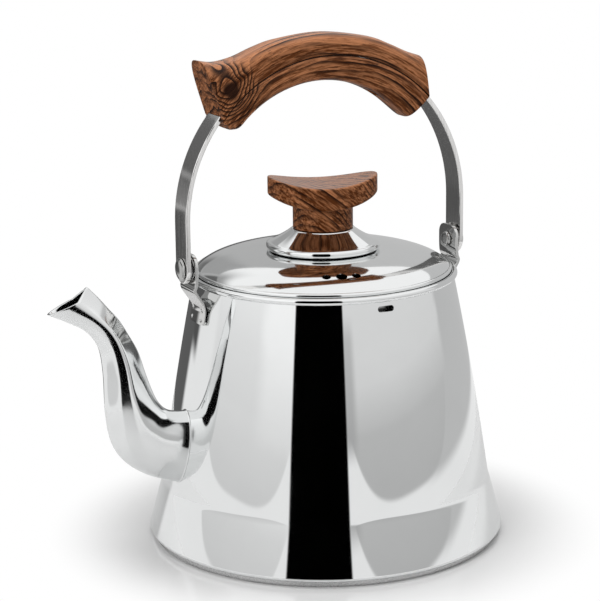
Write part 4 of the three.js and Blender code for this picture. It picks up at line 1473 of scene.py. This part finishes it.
@dataclass
class Lid:
    """The domed lid with its hem, its skirt and its steam holes."""

    turned: float = -17.0
    sheet: float = 1.0
    hem: float = 1.2
    hem_height: float = 133.42
    floor_height: float = 132.22
    top: float = 142.72
    flat_radius: float = 28.0
    skirt_radius: float = 60.3
    gap: float = 0.3
    skirt_depth: float = 10.0
    skirt_ease: tuple[float, float] = (0.2, 0.3)
    vent_orbit: float = 51.0
    vent_radius: float = 2.7
    side_vent_radius: float = 2.1
    vent_spacing: float = 8.0
    vent_reach: float = 20.0
    bore: float = 2.3
    dome: tuple[tuple[float, float], ...] = ((0.0, 0.0), (0.53, 0.0), (0.85, 0.45), (1.0, 1.0))

    def dome_points(self, drop: float) -> list[tuple[float, float]]:
        """The dome's control points, lowered by a drop."""
        hem_radius = self.skirt_radius + self.gap + self.hem
        fall = self.top - self.hem_height - self.hem
        return [(lerp(self.flat_radius, hem_radius, out), self.top - drop - fall * down)
                for out, down in self.dome]

    def outline(self) -> Outline:
        """The lid's section: dome, rolled hem and the underside."""
        hem_radius = self.skirt_radius + self.gap + self.hem
        upper, lower = self.dome_points(0), self.dome_points(self.sheet)
        draw = Outline(self.bore, self.top)
        draw.line(*upper[0])
        draw.curve(*upper[1:], steps=30)
        draw.arc((hem_radius, self.hem_height), self.hem, 90, -90, steps=12)
        draw.line(self.skirt_radius + self.gap, self.floor_height)
        draw.line(self.skirt_radius + self.gap, self.hem_height, pitch=0.6)
        draw.curve(*reversed(lower[:-1]), steps=24)
        draw.line(self.bore, self.top - self.sheet)
        draw.line(self.bore, self.top, pitch=0.5)
        return draw

    def skirt_outline(self) -> Outline:
        """The skirt's section, with its foot turned in."""
        outer, sheet = self.skirt_radius, self.sheet
        out, rise = self.skirt_ease
        foot = self.floor_height - self.skirt_depth
        draw = Outline(outer, self.hem_height)
        draw.line(outer, foot + sheet)
        draw.curve((outer, foot), (outer - sheet, foot), steps=6)
        draw.line(outer - 2 * sheet + out, foot)
        draw.curve((outer - 2 * sheet, foot), (outer - 2 * sheet, foot + rise), steps=3)
        draw.curve((outer - sheet, foot + sheet), (outer - sheet, foot + 2 * sheet), steps=6)
        draw.line(outer - sheet, self.hem_height)
        draw.line(outer, self.hem_height, pitch=0.5)
        return draw

    def build(self, looks: Finishes) -> None:
        """Make the lid and its skirt."""
        plate = turn("lid_skin", self.outline())
        for step in (-1, 0, 1):
            angle = math.radians(self.turned + step * self.vent_spacing - 90)
            centre = Vector((math.cos(angle), math.sin(angle), 0)) * self.vent_orbit
            centre.z = self.top - self.hem
            radius = self.side_vent_radius if step else self.vent_radius
            carve(plate, drill(centre, Vector((0, 0, 1)), radius, self.vent_reach))
        finish(plate, Body.LID, looks.spun, ["lid"])
        skirt = turn("lid_skirt_skin", self.skirt_outline())
        finish(skirt, Body.LID, looks.turned_satin, ["lid_skirt"])


@dataclass
class Knob:
    """The steel foot and the saddle-shaped rosewood knob, with its screw and washer inside."""

    turned: float = -17.0
    foot_height: float = 143.02
    foot_radius: float = 28.0
    foot_bead: float = 1.9
    flare_share: float = 0.33
    foot_top: float = 153.32
    foot_lip: Triple = (0.3, 0.1, 0.4)
    shoulder: float = 0.9
    neck_radius: float = 14.7
    neck_foot: tuple[tuple[float, float], ...] = ((1.2, 0.0), (0.3, 0.0), (0.08, 0.1), (0.0, 0.35))
    height: float = 153.62
    under_height: float = 164.22
    length: float = 54.0
    depth: float = 35.0
    under_rise: float = 6.4
    end_thickness: float = 9.2
    saddle: float = 4.6
    edge: float = 0.9
    middle: float = 0.02
    bore: float = 2.3
    bite: float = 9.0
    seat_gap: float = 0.3
    screw_radius: float = 2.0
    screw_head: float = 4.0
    screw_head_height: float = 2.6
    screw_dome: float = 0.7
    slot: Triple = (9.0, 0.9, 2.2)
    washer_top: float = 141.42
    washer_radius: float = 6.5
    washer_thickness: float = 1.0
    washer_ease: float = 0.2
    steps: int = 96
    neck_steps: int = 8
    fillet_steps: int = 5
    under_steps: int = 10
    round_steps: int = 4
    side_steps: int = 8
    top_steps: int = 14

    def foot_outline(self) -> Outline:
        """The steel foot's section: a beaded flange and a waist under the wood."""
        bead = self.foot_radius - self.foot_bead
        top = self.neck_radius + self.shoulder
        middle = lerp(self.foot_height + 2 * self.foot_bead, self.foot_top, self.flare_share)
        draw = Outline(self.bore, self.foot_height)
        draw.line(bead, self.foot_height, pitch=6)
        draw.arc((bead, self.foot_height + self.foot_bead), self.foot_bead, -90, 90, steps=12)
        drop, bulge, inset = self.foot_lip
        draw.curve(((bead + top) / 2, middle), (top, self.foot_top - drop), steps=24)
        draw.curve((top - bulge, self.foot_top), (top - inset, self.foot_top), steps=3)
        draw.line(self.bore, self.foot_top)
        draw.line(self.bore, self.foot_height, pitch=3)
        return draw

    def under(self, along: float) -> float:
        """The cap's underside at a place along its length."""
        reach = min(abs(along), self.length / 2)
        a = self.length / 2 - 2 * self.neck_radius
        b = 2 * self.neck_radius - self.length
        c = self.length / 2 - reach
        share = (-b - math.sqrt(max(0.0, b * b - 4 * a * c))) / (2 * a)
        return self.under_height + self.under_rise * (1 - share) ** 2

    def upper(self, along: float) -> float:
        """The cap's saddle at a place along its length."""
        top = self.under_height + self.under_rise + self.end_thickness
        return top - self.saddle * (1 - (2 * along / self.length) ** 2)

    def rim(self, angle: float, inset: float) -> Vector:
        """A point on the cap's oval, drawn in by an inset."""
        point = Vector((self.length / 2 * math.cos(angle), self.depth / 2 * math.sin(angle), 0))
        return point * (1 - inset / point.length)

    def ring(self, place: Callable[[float], Vector]) -> Ring:
        """A ring of points from a rule for each angle."""
        return [place(math.tau * i / self.steps) for i in range(self.steps)]

    def neck_ring(self, radius: float, height: float) -> Ring:
        """A level round ring of the neck."""
        return self.ring(lambda angle: Vector((radius * math.cos(angle), radius * math.sin(angle),
                                               height)))

    def cap_ring(self, share: float, inset: float, rise: float, on_top: bool) -> Ring:
        """A ring over the cap's top or its underside.

        Args:
            share: How far out it is, from the neck's edge to the rim below, or from the middle
                above.
            inset: How far the rim is drawn in.
            rise: How far it stands off that face, into the wood.
            on_top: Whether it is on the saddle.

        Returns:
            Its points.
        """
        def place(angle: float) -> Vector:
            rim = self.rim(angle, inset)
            inner = self.middle if on_top else self.neck_radius + self.edge
            start = Vector((math.cos(angle), math.sin(angle), 0)) * inner
            point = start.lerp(rim, share)
            point.z = self.upper(point.x) - rise if on_top else self.under(point.x) + rise
            return point
        return self.ring(place)

    def wood_rings(self) -> list[Ring]:
        """Rings from the bore's roof, down round the neck's foot, up the neck and over the cap."""
        low, neck, edge = self.height, self.neck_radius, self.edge
        roof = low + self.bite + self.bore - self.screw_radius
        levels = [(self.middle / 2, roof), (self.bore, roof), (self.bore, low)]
        levels += [(neck - inset, low + rise) for inset, rise in self.neck_foot]
        rings = [self.neck_ring(radius, height) for radius, height in levels]
        start, end = levels[-1][1], self.under_height - edge
        rings += [self.neck_ring(neck, lerp(start, end, i / self.neck_steps))
                  for i in range(1, self.neck_steps + 1)]
        for i in range(1, self.fillet_steps):
            turned = math.pi / 2 * i / self.fillet_steps
            drop = edge * (1 - math.sin(turned))
            radius = neck + edge * (1 - math.cos(turned))
            rings.append(self.ring(lambda angle, r=radius, d=drop: Vector((
                r * math.cos(angle), r * math.sin(angle), self.under(r * math.cos(angle)) - d))))
        rings += [self.cap_ring(i / self.under_steps, edge, 0.0, False)
                  for i in range(self.under_steps + 1)]
        quarters = [math.pi / 2 * i / self.round_steps for i in range(1, self.round_steps + 1)]
        rounds = [(edge * (1 - math.sin(turned)), edge * (1 - math.cos(turned)))
                  for turned in quarters]
        rings += [self.cap_ring(1, inset, rise, False) for inset, rise in rounds]
        side = self.cap_ring(1, 0.0, edge, False)
        top = self.cap_ring(1, 0.0, edge, True)
        rings += [[a.lerp(b, i / self.side_steps) for a, b in zip(side, top)]
                  for i in range(1, self.side_steps + 1)]
        rings += [self.cap_ring(1, inset, rise, True) for rise, inset in rounds]
        rings += [self.cap_ring(1 - i / self.top_steps, edge, 0.0, True)
                  for i in range(1, self.top_steps + 1)]
        return rings

    def grain(self, point: Vector) -> Vector:
        """A point of the knob along its length, across it and up."""
        along = Matrix.Rotation(math.radians(-self.turned), 4, "Z") @ point
        return Vector((along.x, along.y, point.z - self.under_height))

    def washer_outline(self) -> Outline:
        """The washer's section."""
        low = self.washer_top - self.washer_thickness
        draw = Outline(self.bore, low)
        draw.line(self.washer_radius - self.washer_ease, low)
        draw.curve((self.washer_radius, low), (self.washer_radius, low + self.washer_ease), steps=3)
        draw.line(self.washer_radius, self.washer_top)
        draw.line(self.bore, self.washer_top)
        draw.line(self.bore, low)
        return draw

    def screw(self) -> bpy.types.Object:
        """The domed screw under the lid, with its driving slot."""
        top = self.washer_top - self.washer_thickness - self.seat_gap
        low = top - self.screw_head_height
        end = self.height + self.bite
        draw = screw_outline(self.screw_head, self.screw_radius, low, top, end, self.screw_dome)
        piece = turn("knob_screw_skin", draw, SCREW_STEPS)
        carve(piece, primitive(bpy.ops.mesh.primitive_cube_add, "recess", size=MM,
                               location=(0, 0, low * MM), scale=self.slot))
        return piece

    def build(self, looks: Finishes) -> None:
        """Make the foot, the wood, the washer and the screw."""
        finish(turn("knob_base_skin", self.foot_outline()), Body.LID, looks.spun, ["knob_base"])
        wood = skin("knob_skin", self.wood_rings())
        wood.data.transform(Matrix.Rotation(math.radians(self.turned), 4, "Z"))
        mark_grain(wood, self.grain)
        finish(wood, Body.LID, looks.knob_wood, ["knob"], crease=40)
        washer = turn("knob_washer_skin", self.washer_outline(), SMALL_STEPS)
        finish(washer, Body.LID, looks.turned_satin, ["knob_washer"])
        finish(self.screw(), Body.LID, looks.turned_satin, ["knob_screw"])


# The studio


@dataclass(frozen=True)
class Shot:
    """The camera at the photograph's place, in millimetres and degrees."""

    distance: float = 1044.0
    elevation: float = 19.83
    seam_height: float = 2.4
    yaw: float = -0.68
    pitch: float = 13.74
    roll: float = 0.69
    turned: float = -26.6
    lens: float = 122.99
    sensor: float = 36.0

    def build(self) -> None:
        """Make the camera the scene's own."""
        rise, yaw, pitch, roll = (math.radians(angle) for angle in
                                  (self.elevation, self.yaw, self.pitch, self.roll))
        place = Vector((0, -math.cos(rise), math.sin(rise))) * self.distance
        place.z += self.seam_height
        forward = Vector((math.sin(yaw) * math.cos(pitch), math.cos(yaw) * math.cos(pitch),
                          -math.sin(pitch)))
        right = forward.cross(Vector((0, 0, 1))).normalized()
        up = right.cross(forward)
        level = right * math.cos(roll) - up * math.sin(roll)
        tipped = right * math.sin(roll) + up * math.cos(roll)
        axes = Matrix((level, tipped, -forward)).transposed().to_4x4()
        spin = Matrix.Rotation(math.radians(self.turned), 4, "Z")
        data = bpy.data.cameras.new("shot")
        data.lens = self.lens
        data.sensor_width = self.sensor
        data.sensor_fit = "HORIZONTAL"
        data.clip_start = 0.05
        data.clip_end = 50
        camera = bpy.data.objects.new("shot", data)
        camera.matrix_world = spin @ Matrix.Translation(place * MM) @ axes
        bpy.context.collection.objects.link(camera)
        bpy.context.scene.camera = camera


@dataclass(frozen=True)
class Panel:
    """A soft-edged part of the studio that polished steel shows.

    Azimuths are in degrees from the camera, seen from the kettle, and positive to the camera's
    right. The span is in millimetres on the near surround and in degrees on the sky. The tone
    runs from low at the lower edge to high at the upper one, and a lobe is how far the lower
    corners rise.
    """

    azimuth: tuple[float, float]
    span: tuple[float, float]
    low: float
    high: float
    soft: float = 3.0
    soft_edge: float = 3.0
    lobe: float = 0.0


@dataclass(frozen=True)
class Studio:
    """Pale floor, a soft even room and the dark and grey panels that the steel mirrors."""

    stage_steps: int = 128
    floor_radius: float = 0.9
    floor_tone: float = 0.72
    floor_worn: float = 0.985
    floor_roughness: float = 0.12
    floor_shine: float = 0.6
    lift_start: float = 0.088
    lift_end: float = 0.142
    fill: float = 0.6
    tent: float = 1.0
    ring_radius: float = 0.3
    ring_height: float = 0.32
    ring_tone: float = 0.88
    aim_height: float = 0.12
    ring: tuple[Panel, ...] = (
        Panel((70, 192), (20, 400), 0.54, 0.56, 9.0, 6.0),
        Panel((13, 98), (21.5, 90), 0.48, 0.545, 1.5, 2.5, lobe=70.0),
        Panel((13, 98), (74, 120), 0.55, 0.78, 3.0, 4.0),
        Panel((13, 98), (108, 330), 0.72, 0.90, 3.0, 4.0),
        Panel((13, 20), (62, 150), 0.42, 0.56, 2.5, 12.0),
        Panel((-88, -22), (17, 95), 0.65, 0.8, 3.0, 2.0, lobe=46.0),
        Panel((-88, -22), (78, 330), 0.74, 1.25, 5.0, 6.0),
        Panel((-44, -18), (62, 150), 0.78, 1.04, 6.0, 8.0),
        Panel((-44, -18), (130, 330), 0.98, 1.25, 6.0, 8.0),
        Panel((-192, -150), (130, 400), 0.46, 0.46, 9.0, 12.0),
        Panel((-180, -112), (70, 140), 0.09, 0.09, 3.0, 8.0),
        Panel((-180, -121), (-60, 84), 0.11, 0.11, 3.0, 8.0),
        Panel((-100, -66), (165, 245), 0.10, 0.14, 5.0, 12.0),
        Panel((-158, -108), (140, 205), 0.24, 0.13, 5.0, 10.0),
        Panel((-138, -108), (205, 400), 0.12, 0.15, 4.0, 10.0),
        Panel((-162, -138), (205, 400), 0.36, 0.38, 4.0, 8.0),
        Panel((-21.2, 14.0), (-60, 400), 0.0, 0.0, 0.6, 14.0),
    )
    sky: tuple[Panel, ...] = (
        Panel((105, 190), (-30, 26), 0.57, 0.58, 14.0, 3.0),
        Panel((-190, -152), (-30, 27), 0.46, 0.46, 9.0, 3.0),
        Panel((-156, -116), (-30, 40), 0.34, 0.36, 12.0, 5.0),
        Panel((-21.2, 14.0), (-30, 46), 0.0, 0.1, 2.0, 8.0),
    )

    def strip(self, pen: Pen, value: object, low: float, high: float, soft: float) -> object:
        """A mask that is 1 between two values, with soft edges outside them."""
        rising = pen.span(value, low - soft, low + soft)
        falling = pen.span(value, high - soft, high + soft, 1.0, 0.0)
        return pen.times(rising, falling)

    def azimuth(self, pen: Pen, way: object, look: Vector) -> object:
        """The azimuth in degrees of a vector, from the camera's side and positive to its right."""
        parts = []
        for axis in (-look, Vector((look.y, -look.x, 0))):
            node = pen.add("ShaderNodeVectorMath", operation="DOT_PRODUCT")
            pen.feed(node.inputs[0], way)
            node.inputs[1].default_value = axis
            parts.append(node.outputs["Value"])
        return pen.times(pen.math("ARCTAN2", parts[1], parts[0]), math.degrees(1))

    def paint(self, pen: Pen, azimuth: object, level: object, ground: float,
              panels: Sequence[Panel]) -> object:
        """The tone of a surround with its panels.

        Args:
            pen: The tree's pen.
            azimuth: The azimuth in degrees.
            level: The height that the panels' edges are given in.
            ground: The tone between the panels.
            panels: The panels, later ones over earlier ones.

        Returns:
            The tone.
        """
        tone: object = ground
        for panel in panels:
            left, right = panel.azimuth
            low, high = panel.span
            aside = pen.minus(azimuth, (left + right) / 2)
            share = pen.math("ABSOLUTE", pen.math("DIVIDE", aside, (right - left) / 2))
            sag = pen.times(pen.math("POWER", share, 4.0), panel.lobe)
            upright = self.strip(pen, pen.minus(level, sag), low, high, panel.soft_edge)
            mask = pen.times(self.strip(pen, azimuth, left, right, panel.soft), upright)
            shade = pen.span(level, low, high, panel.low, panel.high, "LINEAR")
            tone = pen.plus(pen.times(tone, pen.minus(1.0, mask)),
                            pen.times(shade, mask))
        return tone

    def world(self, look: Vector) -> None:
        """Dress the world: white to the camera, the panels to steel, an even fill to the rest."""
        world = bpy.data.worlds.new("studio")
        bpy.context.scene.world = world
        world.use_nodes = True
        tree = world.node_tree
        pen = Pen(tree)
        tree.nodes.clear()
        way = pen.add("ShaderNodeTexCoord").outputs["Generated"]
        elevation = pen.times(pen.math("ARCSINE", pen.parts(way)["Z"]), math.degrees(1))
        tone = self.paint(pen, self.azimuth(pen, way, look), elevation, self.tent, self.sky)
        rays = pen.add("ShaderNodeLightPath").outputs
        shiny = pen.most(rays["Is Glossy Ray"], rays["Is Transmission Ray"])
        strength = pen.plus(pen.times(tone, shiny),
                            pen.times(self.fill, pen.minus(1.0, shiny)))
        seen = rays["Is Camera Ray"]
        strength = pen.plus(pen.times(strength, pen.minus(1.0, seen)), seen)
        back = pen.add("ShaderNodeBackground")
        back.inputs["Color"].default_value = (1, 1, 1, 1)
        pen.feed(back.inputs["Strength"], strength)
        out = pen.add("ShaderNodeOutputWorld")
        pen.feed(out.inputs["Surface"], back.outputs[0])

    def surround(self, look: Vector) -> None:
        """Stand the near panels round the kettle, which only the polished pieces mirror.

        Args:
            look: The level way that the camera looks.
        """
        ring = primitive(bpy.ops.mesh.primitive_cylinder_add, "surround", vertices=self.stage_steps,
                         radius=self.ring_radius, depth=self.ring_height, end_fill_type="NOTHING",
                         location=(0, 0, self.ring_height / 2))
        material, pen = new_material("panels")
        place = pen.add("ShaderNodeTexCoord").outputs["Object"]
        height = pen.math("DIVIDE", pen.parts(place)["Z"], MM)
        glow = pen.add("ShaderNodeEmission")
        pen.feed(glow.inputs["Strength"],
                 self.paint(pen, self.azimuth(pen, place, look), height, self.ring_tone, self.ring))
        pen.feed(pen.tree.nodes["Material Output"].inputs["Surface"], glow.outputs[0])
        ring.data.materials.append(material)
        ring.visible_camera = False
        ring.visible_diffuse = False
        ring.visible_shadow = False

    def floor(self) -> None:
        """Lay the pale floor, which fades to white and keeps the kettle's shadow."""
        floor = primitive(bpy.ops.mesh.primitive_circle_add, "floor", vertices=self.stage_steps,
                          radius=self.floor_radius, fill_type="NGON")
        material, pen = new_material("pale_floor")
        shader = pen.tree.nodes["Principled BSDF"]
        place = pen.add("ShaderNodeTexCoord").outputs["Object"]
        tone = pen.span(pen.noise(place, 7.0, 2.0), 0.3, 0.7, self.floor_tone * self.floor_worn,
                        self.floor_tone)
        pen.feed(shader.inputs["Base Color"], tone)
        shader.inputs["Roughness"].default_value = self.floor_roughness
        shader.inputs["Specular IOR Level"].default_value = self.floor_shine
        reach = pen.add("ShaderNodeVectorMath", operation="LENGTH")
        pen.feed(reach.inputs[0], place)
        lift = pen.span(reach.outputs["Value"], self.lift_start, self.lift_end)
        rays = pen.add("ShaderNodeLightPath").outputs
        glow = pen.add("ShaderNodeEmission")
        lit = pen.add("ShaderNodeMixShader")
        pen.feed(lit.inputs[0], pen.times(rays["Is Camera Ray"], lift))
        pen.feed(lit.inputs[1], shader.outputs[0])
        pen.feed(lit.inputs[2], glow.outputs[0])
        pen.feed(pen.tree.nodes["Material Output"].inputs["Surface"], lit.outputs[0])
        floor.data.materials.append(material)

    def lamp(self, name: str, place: Vector, size: float, power: float) -> None:
        """Hang a square soft lamp that looks at the kettle and stays out of its mirror.

        Args:
            name: Its name.
            place: Where it hangs, in metres.
            size: The length of its sides, in metres.
            power: Its power, in watts.
        """
        data = bpy.data.lights.new(name, "AREA")
        data.shape = "SQUARE"
        data.size = size
        data.energy = power
        lamp = bpy.data.objects.new(name, data)
        lamp.location = place
        aim = Vector((0, 0, self.aim_height)) - place
        lamp.rotation_euler = aim.to_track_quat("-Z", "Y").to_euler()
        lamp.visible_glossy = False
        bpy.context.collection.objects.link(lamp)

    def build(self, shot: Shot) -> None:
        """Make the world, the surround, the floor and the lamps."""
        turned = math.radians(shot.turned)
        look = Vector((-math.sin(turned), math.cos(turned), 0))
        side = Vector((look.y, -look.x, 0))
        self.world(look)
        self.surround(look)
        self.floor()
        self.lamp("overhead", place=Vector((0.1, 0.1, 1.6)), size=1.2, power=13.0)
        key_place = -look * 1.2 - side * 0.9 + Vector((0, 0, 1.1))
        self.lamp("key", place=key_place, size=0.9, power=9.0)
        bpy.context.scene.view_settings.view_transform = "Standard"


def main() -> None:
    """Build the kettle class by class, then the studio and the camera."""
    logging.basicConfig(level=logging.INFO, format="%(message)s")
    looks = Finishes()
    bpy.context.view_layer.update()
    wall = Wall()
    for part in (BodyShell(wall), Spout(wall), Ears(wall), Bail(), Lid(), Knob()):
        LOG.info("building %s", type(part).__name__)
        part.build(looks)
    shot = Shot()
    shot.build()
    Studio().build(shot)


if __name__ == "__main__":
    main()
